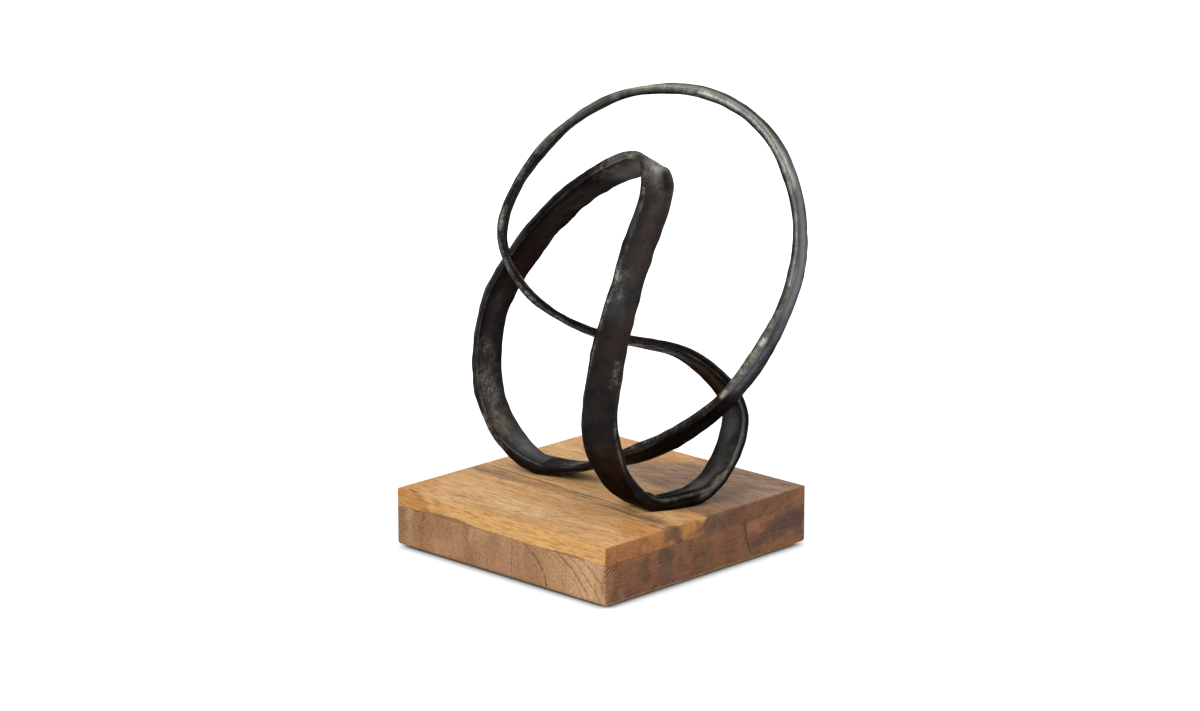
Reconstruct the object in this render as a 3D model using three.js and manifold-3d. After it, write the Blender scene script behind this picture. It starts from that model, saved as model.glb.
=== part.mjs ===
// Metal sculpture: one hand-forged band bent into a closed knot, standing by two feet on a square
// base of two glued boards.
//
// Millimetres, +Z up. The origin is the centre of the base's underside, and the base's sides run
// along X and Y. The knot is laid out in its own three directions, right, away and up, turned
// KNOT_TURN degrees about Z, so that it faces the base's front corner at +X, -Y. Its centre line
// makes one round that carries half a twist, so the band has one side and one edge.

import * as THREE from 'three';
import { mergeVertices } from 'three/addons/utils/BufferGeometryUtils.js';
import Module from 'manifold-3d';

const wasm = await Module();
wasm.setup();

// Base
const BASE_SIDE = 200;
const LOWER_BOARD_THICKNESS = 28;
const UPPER_BOARD_THICKNESS = 12.5;
const BOARD_CORNER_RADIUS = 1.6;
const TOP_EDGE_RADIUS = 0.8;
const BOTTOM_EDGE_RADIUS = 2;
const FELT_THICKNESS = 1.5;
const FELT_INSET = 6;

// Knot: the height is that of the centre line at the ring's top, above the base
const KNOT_HEIGHT = 282;
const KNOT_TURN = 45;
const FOOT_WIDTH = 23;
const FOOT_THICKNESS = 8.5;
const LEG_WIDTH = 24;
const LEG_THICKNESS = 6;
const SHOULDER_WIDTH = 26;
const SHOULDER_THICKNESS = 6.2;
const ARCH_WIDTH = 28;
const ARCH_THICKNESS = 6.5;
const SMALL_LOOP_WIDTH = 23.5;
const SMALL_LOOP_THICKNESS = 6.2;
const STRAND_WIDTH = 22.5;
const STRAND_THICKNESS = 5.7;
const RING_WIDTH = 22;
const RING_THICKNESS = 5.6;
const CREST_WIDTH = 22;
const CREST_THICKNESS = 6.2;
const BAND_EDGE_BEVEL = 1.1;
const FOOT_GRIND = 0.7;

// Fasteners, one under each foot
const SCREW_DIAMETER = 5;
const SCREW_HEAD_DIAMETER = 8.5;
const SCREW_HEAD_HEIGHT = 5;
const SCREW_KEY_ACROSS = 4;
const SCREW_KEY_DEPTH = 2.5;
const SCREW_BEVEL = 0.4;
const WASHER_DIAMETER = 12;
const WASHER_THICKNESS = 1.2;
const COUNTERBORE_DEPTH = 16.5;
const FOOT_HOLE_ROOF = 2.8;

// Clearances
const SEAT_GAP = 0.3;
const HOLE_CLEARANCE = 0.3;
const SCREW_TIP_CLEARANCE = 0.5;
const COUNTERBORE_CLEARANCE = 1;

// Fineness of the curves
const STEPS_PER_SPAN = 6;
const CORNER_STEPS = 4;
const ROUND_STEPS = 24;
const HEXAGON_STEPS = 6;
const POLE_PASSES = 40;

// Levels of the stack, worked out from the sizes above
const LOWER_BOARD_BOTTOM = FELT_THICKNESS;
const GLUE_LINE = LOWER_BOARD_BOTTOM + LOWER_BOARD_THICKNESS;
const BASE_TOP = GLUE_LINE + UPPER_BOARD_THICKNESS;
const COUNTERBORE_FLOOR = LOWER_BOARD_BOTTOM + COUNTERBORE_DEPTH;
const FOOT_CENTRE_UP = SEAT_GAP - FOOT_GRIND + FOOT_THICKNESS / 2;
const FOOT_HOLE_DEPTH = FOOT_THICKNESS - FOOT_GRIND - FOOT_HOLE_ROOF;

const FOOT = [FOOT_WIDTH, FOOT_THICKNESS];
const LEG = [LEG_WIDTH, LEG_THICKNESS];
const SHOULDER = [SHOULDER_WIDTH, SHOULDER_THICKNESS];
const ARCH = [ARCH_WIDTH, ARCH_THICKNESS];
const SMALL_LOOP = [SMALL_LOOP_WIDTH, SMALL_LOOP_THICKNESS];
const STRAND = [STRAND_WIDTH, STRAND_THICKNESS];
const RING = [RING_WIDTH, RING_THICKNESS];
const CREST = [CREST_WIDTH, CREST_THICKNESS];
const ON_BASE = null;

// Layout of the knot, once round its centre line. A row holds the place (right, away, up from the
// base), then how the width lies (its turn about the upright, 0 pointing away and 90 pointing
// right, and its rise, both in degrees), and the section there. A row ON_BASE sits on the base.
const LAYOUT = [
  // Left foot and leg
  [-37, 38, ON_BASE, 0, 0, FOOT],
  [-50.5, 44, 9, 21, 6, FOOT],
  [-66.5, 52, 27, 39, 9, LEG],
  [-77, 54, 53.5, 45, 3, LEG],
  [-78.5, 50, 84.5, 48, 0, LEG],
  [-71.5, 36, 125, 45, -6, SHOULDER],
  // Arch and fold
  [-53.5, 18, 160.5, 40, -20, ARCH],
  [-29.5, 0, 195, 34, -25, ARCH],
  [-3, -22, 221.5, 29, -29, ARCH],
  [19, -42, 236.5, 35, -34, ARCH],
  [33, -56, 238, 50, -30, SHOULDER],
  // Front leg, which carries the half twist
  [35, -62, 221, 52, -6, SHOULDER],
  [27, -64, 195.5, 56, 6, SHOULDER],
  [17, -64, 162.5, 63, 9, LEG],
  [7.5, -64, 129.5, 72, 9, LEG],
  [1, -64, 97.5, 86, 6, LEG],
  [-3, -62, 62.5, 103, 3, LEG],
  [6.5, -57, 27.5, 120, 6, LEG],
  // Front foot
  [28, -50, ON_BASE, 147, 2, FOOT],
  [54, -40, ON_BASE, 158, 0, FOOT],
  // Small loop
  [76, -26, 13.5, 156, -5, SMALL_LOOP],
  [91.5, -10, 47.5, 146, 0, SMALL_LOOP],
  [82.5, -2, 73.5, 157, 27, SMALL_LOOP],
  // Strand behind the front leg and before the left leg
  [58, -4, 95, 178, 29, STRAND],
  [27, -8, 105.5, 180, 21, STRAND],
  [-2, -12, 112.5, 180, 17, STRAND],
  [-31.5, -14, 126.5, 180, 17, STRAND],
  [-54.5, -15, 148, 181, 16, STRAND],
  // Ring, from its left side over the top and down its right side
  [-67, -16, 179.5, 184, 15, RING],
  [-59, -16, 213, 186, 15, RING],
  [-35, -13, 246, 186, 16, RING],
  [-1, -10, 271.5, 185, 13, RING],
  [36, -12, 282, 189, 8, CREST],
  [74, -20, 279, 192, 7.5, CREST],
  [105.7, -30, 260.3, 197, 11, CREST],
  [123.8, -40, 231, 197.5, 14, RING],
  [131.6, -47, 195.5, 199.5, 17, RING],
  [128, -50, 156.5, 200.5, 18, STRAND],
  // Rising strand, from the ring down to the left foot
  [111, -48, 115, 200, 22, LEG],
  [87, -38, 76.5, 198, 27, LEG],
  [58, -21, 46.5, 192, 32, LEG],
  [28, -2, 25, 184, 34, LEG],
  [-1, 14, 12, 180, 20, LEG],
  [-19, 26, 6, 180, 10, LEG],
];
const KNOT_SCALE = KNOT_HEIGHT / Math.max(...LAYOUT.map((row) => row[2]));

// A station is eight numbers: centre (3), direction of the width (3), width and thickness
const WIDTH_DIRECTION = [3, 4, 5];

function stationOf([right, away, up, turnDegrees, riseDegrees, section]) {
  const turn = THREE.MathUtils.degToRad(turnDegrees);
  const rise = THREE.MathUtils.degToRad(riseDegrees);
  const centre = [
    right * KNOT_SCALE,
    away * KNOT_SCALE,
    up === ON_BASE ? FOOT_CENTRE_UP : up * KNOT_SCALE,
  ];
  const across = [
    Math.sin(turn) * Math.cos(rise),
    Math.cos(turn) * Math.cos(rise),
    Math.sin(rise),
  ];
  return [...centre, ...across, ...section];
}

// The value at any place round a closed row: past the end, the half twist turns the width about
function roundTheLoop(row, index) {
  const count = row.length;
  const laps = Math.floor(index / count);
  const value = row[index - laps * count];
  if (laps % 2 === 0) {
    return value;
  }
  return value.map((number, k) => (WIDTH_DIRECTION.includes(k) ? -number : number));
}

// Four weights of a cubic B-spline at the fraction f of a span
function splineWeights(f) {
  return [
    (1 - f) ** 3 / 6,
    (3 * f ** 3 - 6 * f ** 2 + 4) / 6,
    (-3 * f ** 3 + 3 * f ** 2 + 3 * f + 1) / 6,
    f ** 3 / 6,
  ];
}

function blend(row, index, f) {
  const weights = splineWeights(f);
  const near = weights.map((_, k) => roundTheLoop(row, index - 1 + k));
  return row[0].map((_, c) => weights.reduce((sum, weight, k) => sum + weight * near[k][c], 0));
}

// Poles of the closed curve that passes through the stations, drawn out a little on each pass
function polesThrough(stations) {
  let poles = stations;
  for (let pass = 0; pass < POLE_PASSES; pass += 1) {
    const reached = poles.map((_, i) => blend(poles, i, 0));
    poles = poles.map((pole, i) => pole.map((number, c) => number + stations[i][c] - reached[i][c]));
  }
  return poles;
}

// Outline of the band's section, bevelled at its four edges, as points (across, through). Its
// second half is the first half turned half a turn.
function sectionOutline(width, thickness) {
  const w = width / 2;
  const t = thickness / 2;
  const bevel = Math.min(BAND_EDGE_BEVEL, t / 2);
  const half = [[w, bevel - t], [w, t - bevel], [w - bevel, t], [bevel - w, t]];
  return [...half, ...half.map(([x, y]) => [-x, -y])];
}

function sweptBand() {
  const poles = polesThrough(LAYOUT.map(stationOf));
  const values = [];
  for (let i = 0; i < poles.length; i += 1) {
    for (let step = 0; step < STEPS_PER_SPAN; step += 1) {
      values.push(blend(poles, i, step / STEPS_PER_SPAN));
    }
  }
  const rings = values.length;
  const centres = values.map((value) => new THREE.Vector3(...value.slice(0, 3)));
  const positions = [];
  values.forEach((value, i) => {
    const before = centres[(i + rings - 1) % rings];
    const after = centres[(i + 1) % rings];
    const along = new THREE.Vector3().subVectors(after, before).normalize();
    const across = new THREE.Vector3(...value.slice(3, 6));
    across.addScaledVector(along, -across.dot(along)).normalize();
    const through = new THREE.Vector3().crossVectors(across, along);
    for (const [x, y] of sectionOutline(value[6], value[7])) {
      const corner = centres[i].clone().addScaledVector(across, x).addScaledVector(through, y);
      positions.push(corner.x, corner.y, corner.z);
    }
  });

  // The last ring meets the first one half a turn round
  const corners = positions.length / 3 / rings;
  const at = (ring, corner) => {
    const turned = ring === rings ? corner + corners / 2 : corner;
    return (ring % rings) * corners + (turned % corners);
  };
  const index = [];
  for (let ring = 0; ring < rings; ring += 1) {
    for (let corner = 0; corner < corners; corner += 1) {
      const a = at(ring, corner);
      const b = at(ring + 1, corner);
      const c = at(ring + 1, corner + 1);
      const d = at(ring, corner + 1);
      index.push(a, b, c, a, c, d);
    }
  }
  return indexed(positions, index);
}

function indexed(positions, index) {
  const geometry = new THREE.BufferGeometry();
  geometry.setAttribute('position', new THREE.Float32BufferAttribute(positions, 3));
  geometry.setIndex(index);
  return geometry;
}

// Solids for cutting, and back to a geometry
function solidOf(geometry) {
  const bare = geometry.clone();
  bare.deleteAttribute('normal');
  bare.deleteAttribute('uv');
  const merged = mergeVertices(bare);
  const mesh = new wasm.Mesh({
    numProp: 3,
    vertProperties: new Float32Array(merged.attributes.position.array),
    triVerts: new Uint32Array(merged.index.array),
  });
  return new wasm.Manifold(mesh);
}

function geometryOf(solid) {
  const mesh = solid.getMesh();
  return indexed(Array.from(mesh.vertProperties), Array.from(mesh.triVerts));
}

// Upright cylinder from one level to another, with `sides` flats
function upright(diameter, from, to, x, y, sides = ROUND_STEPS) {
  const geometry = new THREE.CylinderGeometry(diameter / 2, diameter / 2, to - from, sides);
  geometry.rotateX(Math.PI / 2);
  geometry.translate(x, y, (from + to) / 2);
  return solidOf(geometry);
}

// Round piece about Z from its half outline, as points (radius, level) run upwards on the outside
function turned(outline) {
  const points = outline.map(([radius, level]) => new THREE.Vector2(radius, level));
  const geometry = new THREE.LatheGeometry(points, ROUND_STEPS);
  geometry.rotateX(Math.PI / 2);
  return geometry;
}

// Square ring of points with round corners
function roundedSquare(side, radius, level) {
  const points = [];
  const reach = side / 2 - radius;
  for (let quarter = 0; quarter < 4; quarter += 1) {
    for (let step = 0; step <= CORNER_STEPS; step += 1) {
      const angle = (quarter + step / CORNER_STEPS) * (Math.PI / 2);
      const middle = (quarter + 0.5) * (Math.PI / 2);
      points.push([
        Math.sign(Math.cos(middle)) * reach + radius * Math.cos(angle),
        Math.sign(Math.sin(middle)) * reach + radius * Math.sin(angle),
        level,
      ]);
    }
  }
  return points;
}

// Square plate. Its rings are [level, inset] from the bottom up.
function plate(side, radius, rings) {
  const outlines = rings.map(([level, inset]) => (
    roundedSquare(side - 2 * inset, Math.max(radius - inset, radius / 4), level)
  ));
  const count = outlines[0].length;
  const positions = outlines.flat(2);
  const index = [];
  for (let ring = 0; ring < outlines.length - 1; ring += 1) {
    for (let k = 0; k < count; k += 1) {
      const next = (k + 1) % count;
      const low = ring * count;
      const high = low + count;
      index.push(low + k, low + next, high + next, low + k, high + next, high + k);
    }
  }
  const top = (outlines.length - 1) * count;
  for (let k = 1; k < count - 1; k += 1) {
    index.push(0, k + 1, k);
    index.push(top, top + k, top + k + 1);
  }
  return indexed(positions, index);
}

// Quarter round at the edge of a board, as rings [level, inset] from its flat side to its face
function easedEdge(face, inward, radius) {
  const rings = [];
  for (let step = 0; step <= CORNER_STEPS; step += 1) {
    const angle = (step / CORNER_STEPS) * (Math.PI / 2);
    rings.push([
      face + inward * radius * (1 - Math.sin(angle)),
      radius * (1 - Math.cos(angle)),
    ]);
  }
  return rings;
}

// Where the knot's layout lies over the base
function overBase([right, away]) {
  const turn = THREE.MathUtils.degToRad(KNOT_TURN);
  const place = new THREE.Vector2(right * KNOT_SCALE, away * KNOT_SCALE);
  return place.rotateAround(new THREE.Vector2(0, 0), turn);
}

const FEET = [
  { name: 'left_foot', row: LAYOUT[0] },
  { name: 'front_foot', row: LAYOUT.findLast((row) => row[2] === ON_BASE) },
];

// Materials
const FORGED_METAL = new THREE.MeshStandardMaterial({
  color: 0x2b2724, roughness: 0.45, metalness: 0.9, flatShading: true,
});
const PALE_WOOD = new THREE.MeshStandardMaterial({
  color: 0xc79a63, roughness: 0.65, metalness: 0, flatShading: true,
});
const BROWN_WOOD = new THREE.MeshStandardMaterial({
  color: 0x8f623f, roughness: 0.7, metalness: 0, flatShading: true,
});
const DARK_FELT = new THREE.MeshStandardMaterial({
  color: 0x26241f, roughness: 0.95, metalness: 0, flatShading: true,
});
const ZINC = new THREE.MeshStandardMaterial({
  color: 0xa9abae, roughness: 0.35, metalness: 1, flatShading: true,
});

function piece(name, geometry, material) {
  const mesh = new THREE.Mesh(geometry, material);
  mesh.name = name;
  return mesh;
}

// The feet are ground flat underneath and drilled for their screws
function knotBand() {
  let band = solidOf(sweptBand());
  const reach = 2 * BASE_SIDE;
  const ground = new THREE.BoxGeometry(reach, reach, reach);
  ground.translate(0, 0, SEAT_GAP - reach / 2);
  band = band.subtract(solidOf(ground));
  for (const { row } of FEET) {
    const [x, y] = stationOf(row);
    const hole = SCREW_DIAMETER + 2 * HOLE_CLEARANCE;
    band = band.subtract(upright(hole, -SEAT_GAP, SEAT_GAP + FOOT_HOLE_DEPTH, x, y));
  }
  return piece('knot_band', geometryOf(band), FORGED_METAL);
}

function upperBoard() {
  const rings = [[GLUE_LINE, 0], ...easedEdge(BASE_TOP, -1, TOP_EDGE_RADIUS)];
  let board = solidOf(plate(BASE_SIDE, BOARD_CORNER_RADIUS, rings));
  for (const { row } of FEET) {
    const { x, y } = overBase(row);
    const hole = SCREW_DIAMETER + 2 * HOLE_CLEARANCE;
    board = board.subtract(upright(hole, GLUE_LINE - SEAT_GAP, BASE_TOP + SEAT_GAP, x, y));
  }
  return piece('base_upper_board', geometryOf(board), PALE_WOOD);
}

function lowerBoard() {
  const rings = [...easedEdge(LOWER_BOARD_BOTTOM, 1, BOTTOM_EDGE_RADIUS).reverse(), [GLUE_LINE, 0]];
  let board = solidOf(plate(BASE_SIDE, BOARD_CORNER_RADIUS, rings));
  for (const { row } of FEET) {
    const { x, y } = overBase(row);
    const hole = SCREW_DIAMETER + 2 * HOLE_CLEARANCE;
    const counterbore = WASHER_DIAMETER + 2 * COUNTERBORE_CLEARANCE;
    board = board.subtract(upright(hole, LOWER_BOARD_BOTTOM, GLUE_LINE + SEAT_GAP, x, y));
    board = board.subtract(upright(counterbore, 0, COUNTERBORE_FLOOR, x, y));
  }
  return piece('base_lower_board', geometryOf(board), BROWN_WOOD);
}

function feltSheet() {
  const side = BASE_SIDE - 2 * FELT_INSET;
  const sheet = plate(side, BOARD_CORNER_RADIUS, [[0, 0], [FELT_THICKNESS, 0]]);
  return piece('felt_sheet', sheet, DARK_FELT);
}

// Cap screw, point up, from under its washer into the foot
function screw({ name, row }) {
  const seat = COUNTERBORE_FLOOR - WASHER_THICKNESS;
  const tip = BASE_TOP + SEAT_GAP + FOOT_HOLE_DEPTH - SCREW_TIP_CLEARANCE;
  const length = tip - seat;
  const head = SCREW_HEAD_DIAMETER / 2;
  const shank = SCREW_DIAMETER / 2;
  const body = turned([
    [0, -SCREW_HEAD_HEIGHT],
    [head - SCREW_BEVEL, -SCREW_HEAD_HEIGHT],
    [head, SCREW_BEVEL - SCREW_HEAD_HEIGHT],
    [head, 0],
    [shank, 0],
    [shank, length - SCREW_BEVEL],
    [shank - SCREW_BEVEL, length],
    [0, length],
  ]);
  const keyCorners = SCREW_KEY_ACROSS / Math.cos(Math.PI / HEXAGON_STEPS);
  const keyTop = SCREW_KEY_DEPTH - SCREW_HEAD_HEIGHT;
  const key = upright(keyCorners, -SCREW_HEAD_HEIGHT - SEAT_GAP, keyTop, 0, 0, HEXAGON_STEPS);
  const mesh = piece(`screw_${name}`, geometryOf(solidOf(body).subtract(key)), ZINC);
  const { x, y } = overBase(row);
  mesh.position.set(x, y, seat);
  return mesh;
}

function washer({ name, row }) {
  const outer = WASHER_DIAMETER / 2;
  const inner = SCREW_DIAMETER / 2 + HOLE_CLEARANCE;
  const ring = turned([
    [inner, 0],
    [outer, 0],
    [outer, WASHER_THICKNESS],
    [inner, WASHER_THICKNESS],
    [inner, 0],
  ]);
  const mesh = piece(`washer_${name}`, ring, ZINC);
  const { x, y } = overBase(row);
  mesh.position.set(x, y, COUNTERBORE_FLOOR - WASHER_THICKNESS);
  return mesh;
}

const knot = new THREE.Group();
knot.rotation.z = THREE.MathUtils.degToRad(KNOT_TURN);
knot.position.z = BASE_TOP;
knot.add(knotBand());

const sculpture = new THREE.Group();
sculpture.name = 'metal_sculpture';
sculpture.add(knot, upperBoard(), lowerBoard(), feltSheet());
for (const foot of FEET) {
  sculpture.add(screw(foot), washer(foot));
}

export default sculpture;
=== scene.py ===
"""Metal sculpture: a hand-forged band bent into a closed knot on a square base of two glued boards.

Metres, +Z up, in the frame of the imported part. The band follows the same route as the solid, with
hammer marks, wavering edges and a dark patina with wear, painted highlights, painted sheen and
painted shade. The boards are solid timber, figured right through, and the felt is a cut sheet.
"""

import logging
import math
from dataclasses import dataclass
from enum import Enum
from functools import reduce
from typing import Any, Optional, Sequence, Union

import bpy
import numpy as np
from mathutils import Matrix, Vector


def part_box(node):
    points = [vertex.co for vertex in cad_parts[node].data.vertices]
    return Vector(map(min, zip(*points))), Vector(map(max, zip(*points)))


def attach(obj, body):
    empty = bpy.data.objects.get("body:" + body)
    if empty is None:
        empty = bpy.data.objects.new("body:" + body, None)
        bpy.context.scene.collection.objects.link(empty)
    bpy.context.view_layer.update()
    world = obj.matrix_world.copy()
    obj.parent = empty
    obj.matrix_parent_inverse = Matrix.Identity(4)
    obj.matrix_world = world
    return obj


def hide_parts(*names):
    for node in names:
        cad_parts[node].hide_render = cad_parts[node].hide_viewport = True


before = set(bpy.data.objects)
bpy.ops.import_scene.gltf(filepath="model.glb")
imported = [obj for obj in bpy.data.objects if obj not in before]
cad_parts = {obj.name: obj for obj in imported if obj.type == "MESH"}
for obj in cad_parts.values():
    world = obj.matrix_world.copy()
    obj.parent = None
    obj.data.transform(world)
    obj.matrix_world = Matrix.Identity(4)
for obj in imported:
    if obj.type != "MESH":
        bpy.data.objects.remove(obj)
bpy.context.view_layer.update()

logging.basicConfig(level=logging.INFO, format="%(name)s: %(message)s")
log = logging.getLogger("sculpture")

MM = 0.001
FELT_TOP = 1.5 * MM
GLUE_LINE = 29.5 * MM
BASE_TOP = 42.0 * MM
BASE_SIDE = 200.0 * MM

Colour = tuple[float, float, float]
Place = tuple[float, float, float]
Range = tuple[float, float]
Socket = bpy.types.NodeSocket
Value = Union[Socket, float, int, Sequence[float]]

WHITE: Colour = (1.0, 1.0, 1.0)


class Slot(Enum):
    """Material slots of the record."""

    FORGED_METAL = "forged_metal"
    PALE_WOOD = "pale_wood"
    BROWN_WOOD = "brown_wood"
    FELT = "felt"
    ZINC_STEEL = "zinc_steel"


# Numbers on whole arrays


def smoothstep(value: np.ndarray, low: float, high: float) -> np.ndarray:
    """Rise smoothly from 0 at low to 1 at high: f squared times (3 - 2 f)."""
    part = np.clip((value - low) / (high - low), 0.0, 1.0)
    return part * part * (3.0 - 2.0 * part)


@dataclass(frozen=True)
class Ripple:
    """Smooth, repeatable unevenness in space: a mean of sine waves of seeded directions."""

    seed: int
    shortest: float
    longest: float
    waves: int = 28

    def at(self, points: np.ndarray) -> np.ndarray:
        """Sum of sin(k . p + phase) over all waves, divided by the root of half their number.

        Args:
            points: Places, as rows of x, y, z.

        Returns:
            One number for each place, mostly between -2 and 2.
        """
        draw = np.random.default_rng(self.seed)
        aim = draw.normal(size=(self.waves, 3))
        aim /= np.linalg.norm(aim, axis=1, keepdims=True)
        length = np.exp(draw.uniform(math.log(self.shortest), math.log(self.longest), self.waves))
        phase = draw.uniform(0.0, 2.0 * math.pi, self.waves)
        waves = np.sin(points @ (aim * (2.0 * math.pi / length)[:, None]).T + phase)
        return waves.sum(axis=1) / math.sqrt(self.waves / 2.0)


def grid_quads(rings: int, around: int, shift: int = 0) -> np.ndarray:
    """Faces of a closed grid, whose last ring meets the first one `shift` points further round.

    Args:
        rings: Number of rings.
        around: Number of points in a ring.
        shift: How far round the last ring's faces reach when they close the tube.

    Returns:
        Rows of four vertex numbers, facing out where the rings run anticlockwise.
    """
    ring, point = np.meshgrid(np.arange(rings), np.arange(around), indexing="ij")
    turned = np.where(ring == rings - 1, shift, 0)
    here, there = ring * around, (ring + 1) % rings * around
    a = here + point
    b = there + (point + turned) % around
    c = there + (point + 1 + turned) % around
    d = here + (point + 1) % around
    return np.stack([a, b, c, d], axis=-1).reshape(-1, 4)


def new_piece(name: str, points: np.ndarray, faces: list) -> bpy.types.Object:
    """Make a smooth-shaded mesh object at the origin.

    Args:
        name: Name of the object and its mesh.
        points: Rows of x, y, z in metres.
        faces: Lists of vertex numbers.

    Returns:
        The object, linked to the scene.
    """
    mesh = bpy.data.meshes.new(name)
    mesh.from_pydata(points.tolist(), [], faces)
    mesh.update()
    mesh.shade_smooth()
    made = bpy.data.objects.new(name, mesh)
    bpy.context.scene.collection.objects.link(made)
    return made


def set_attribute(piece: bpy.types.Object, name: str, values: np.ndarray) -> None:
    """Store one number for each vertex under a name that the materials read."""
    attribute = piece.data.attributes.new(name, "FLOAT", "POINT")
    attribute.data.foreach_set("value", values.astype(np.float32).ravel())


def report(piece: bpy.types.Object) -> None:
    """Log a piece's name and its number of faces."""
    log.info("%s: %d faces", piece.name, len(piece.data.polygons))


# Shader nodes


class Tree:
    """Adds nodes to one node tree and joins them."""

    def __init__(self, tree: bpy.types.NodeTree) -> None:
        """Keep the tree that the nodes go to."""
        self.tree = tree

    def node(self, kind: str, inputs: Optional[dict] = None, **settings: Any) -> bpy.types.Node:
        """Add a node.

        Args:
            kind: Type of the node, without its ShaderNode prefix.
            inputs: Sockets or values for its inputs, by name or number.
            **settings: Properties of the node.

        Returns:
            The node.
        """
        made = self.tree.nodes.new("ShaderNode" + kind)
        for key, value in settings.items():
            setattr(made, key, value)
        for key, value in (inputs or {}).items():
            self.feed(made.inputs[key], value)
        return made

    def feed(self, target: Socket, value: Value) -> None:
        """Join a socket to an input, or set the input's own value.

        Args:
            target: The input.
            value: A socket, a number, or three numbers.
        """
        if isinstance(value, bpy.types.NodeSocket):
            self.tree.links.new(value, target)
        elif target.type == "RGBA" and len(value) == 3:
            target.default_value = (*value, 1.0)
        else:
            target.default_value = value

    def math(self, operation: str, a: Value, b: Value = 0.0, clamp: bool = False) -> Socket:
        """Result of a Math node on one or two values."""
        inputs = {0: a, 1: b}
        return self.node("Math", inputs, operation=operation, use_clamp=clamp).outputs[0]

    def times(self, *values: Value) -> Socket:
        """Product of two or more values."""
        return reduce(lambda a, b: self.math("MULTIPLY", a, b), values)

    def plus(self, *values: Value) -> Socket:
        """Sum of two or more values."""
        return reduce(lambda a, b: self.math("ADD", a, b), values)

    def minus(self, a: Value, b: Value) -> Socket:
        """The first value less the second."""
        return self.math("SUBTRACT", a, b)

    def larger(self, a: Value, b: Value) -> Socket:
        """The larger of two values."""
        return self.math("MAXIMUM", a, b)

    def size(self, value: Value) -> Socket:
        """A value without its sign."""
        return self.math("ABSOLUTE", value)

    def vector(self, operation: str, *values: Value) -> Socket:
        """Vector that a Vector Math node makes of its values."""
        inputs = dict(enumerate(values))
        return self.node("VectorMath", inputs, operation=operation).outputs["Vector"]

    def measure(self, operation: str, *values: Value) -> Socket:
        """Number that a Vector Math node makes of its values."""
        inputs = dict(enumerate(values))
        return self.node("VectorMath", inputs, operation=operation).outputs["Value"]

    def stretched(self, vector: Socket, scale: Place) -> Socket:
        """A vector with a factor along each axis."""
        return self.node("Mapping", {"Vector": vector, "Scale": scale}).outputs["Vector"]

    def remap(self, value: Value, low: Value, high: Value, start: float = 0.0,
              end: float = 1.0) -> Socket:
        """Smooth step of a value from low to high, put out from start to end."""
        inputs = {"Value": value, "From Min": low, "From Max": high, "To Min": start, "To Max": end}
        return self.node("MapRange", inputs, interpolation_type="SMOOTHSTEP").outputs["Result"]

    def around(self, value: Value, middle: Value, full: float, gone: float, peak: float = 1.0
               ) -> Socket:
        """Peak where a value is nearer to the middle than full, and smoothly down to 0 at gone."""
        return self.remap(self.size(self.minus(value, middle)), full, gone, peak, 0.0)

    def mix(self, factor: Value, a: Value, b: Value, blend: str = "MIX") -> Socket:
        """Colour between a and b, by a factor from 0 to 1."""
        settings = {"data_type": "RGBA", "blend_type": blend, "clamp_factor": True}
        return self.node("Mix", {0: factor, 6: a, 7: b}, **settings).outputs[2]

    def noise(self, vector: Socket, scale: float, detail: float = 3.0, roughness: float = 0.55
              ) -> Socket:
        """Value of a Noise Texture, about 0.5 on the whole."""
        inputs = {"Vector": vector, "Scale": scale, "Detail": detail, "Roughness": roughness}
        return self.node("TexNoise", inputs).outputs["Fac"]

    def wander(self, vector: Socket, scale: float, detail: float, roughness: float = 0.55
               ) -> Socket:
        """Value of a Noise Texture less 0.5."""
        return self.minus(self.noise(vector, scale, detail, roughness), 0.5)

    def attribute(self, name: str) -> Socket:
        """Number stored on the mesh under a name."""
        return self.node("Attribute", attribute_name=name).outputs["Fac"]

    def axes(self, vector: Socket) -> tuple[Socket, Socket, Socket]:
        """The three numbers of a vector."""
        split = self.node("SeparateXYZ", {0: vector}).outputs
        return split[0], split[1], split[2]

    def place(self, turn: Place = (0.0, 0.0, 0.0), scale: Place = (1.0, 1.0, 1.0)) -> Socket:
        """Object coordinates, turned and stretched.

        Args:
            turn: Degrees about each axis.
            scale: Factor along each axis.

        Returns:
            The vector.
        """
        found = self.node("TexCoord").outputs["Object"]
        radians = tuple(math.radians(angle) for angle in turn)
        inputs = {"Vector": found, "Rotation": radians, "Scale": scale}
        return self.node("Mapping", inputs).outputs["Vector"]

    def group(self, tree: bpy.types.NodeTree, inputs: dict) -> Any:
        """Outputs, by name, of a node group placed with these inputs."""
        return self.node("Group", inputs, node_tree=tree).outputs


def new_group(name: str, inputs: dict, outputs: dict) -> tuple[bpy.types.NodeTree, Tree, Any, Any]:
    """Start a shader node group with named sockets.

    Args:
        name: Name of the group.
        inputs: Socket types without their NodeSocket prefix, by name.
        outputs: The same, for what it puts out.

    Returns:
        The group, the helper that adds its nodes, its inputs' sockets, and those of its outputs.
    """
    made = bpy.data.node_groups.new(name, "ShaderNodeTree")
    for way, sockets in (("INPUT", inputs), ("OUTPUT", outputs)):
        for key, kind in sockets.items():
            made.interface.new_socket(key, in_out=way, socket_type="NodeSocket" + kind)
    given = made.nodes.new("NodeGroupInput").outputs
    result = made.nodes.new("NodeGroupOutput").inputs
    return made, Tree(made), given, result


def mottle_group() -> bpy.types.NodeTree:
    """Group that puts out soft blotches: two sizes of noise, added and sharpened.

    Returns:
        The group.
    """
    made, tree, given, result = new_group(
        "Mottle",
        {"Vector": "Vector", "Scale": "Float", "Low": "Float", "High": "Float"},
        {"Mask": "Float"},
    )
    finer = tree.times(given["Scale"], 3.7)
    broad = tree.noise(given["Vector"], given["Scale"], 4.0, 0.6)
    small = tree.noise(given["Vector"], finer, 3.0, 0.6)
    both = tree.plus(tree.times(broad, 0.68), tree.times(small, 0.32))
    tree.feed(result["Mask"], tree.remap(both, given["Low"], given["High"]))
    return made


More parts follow.
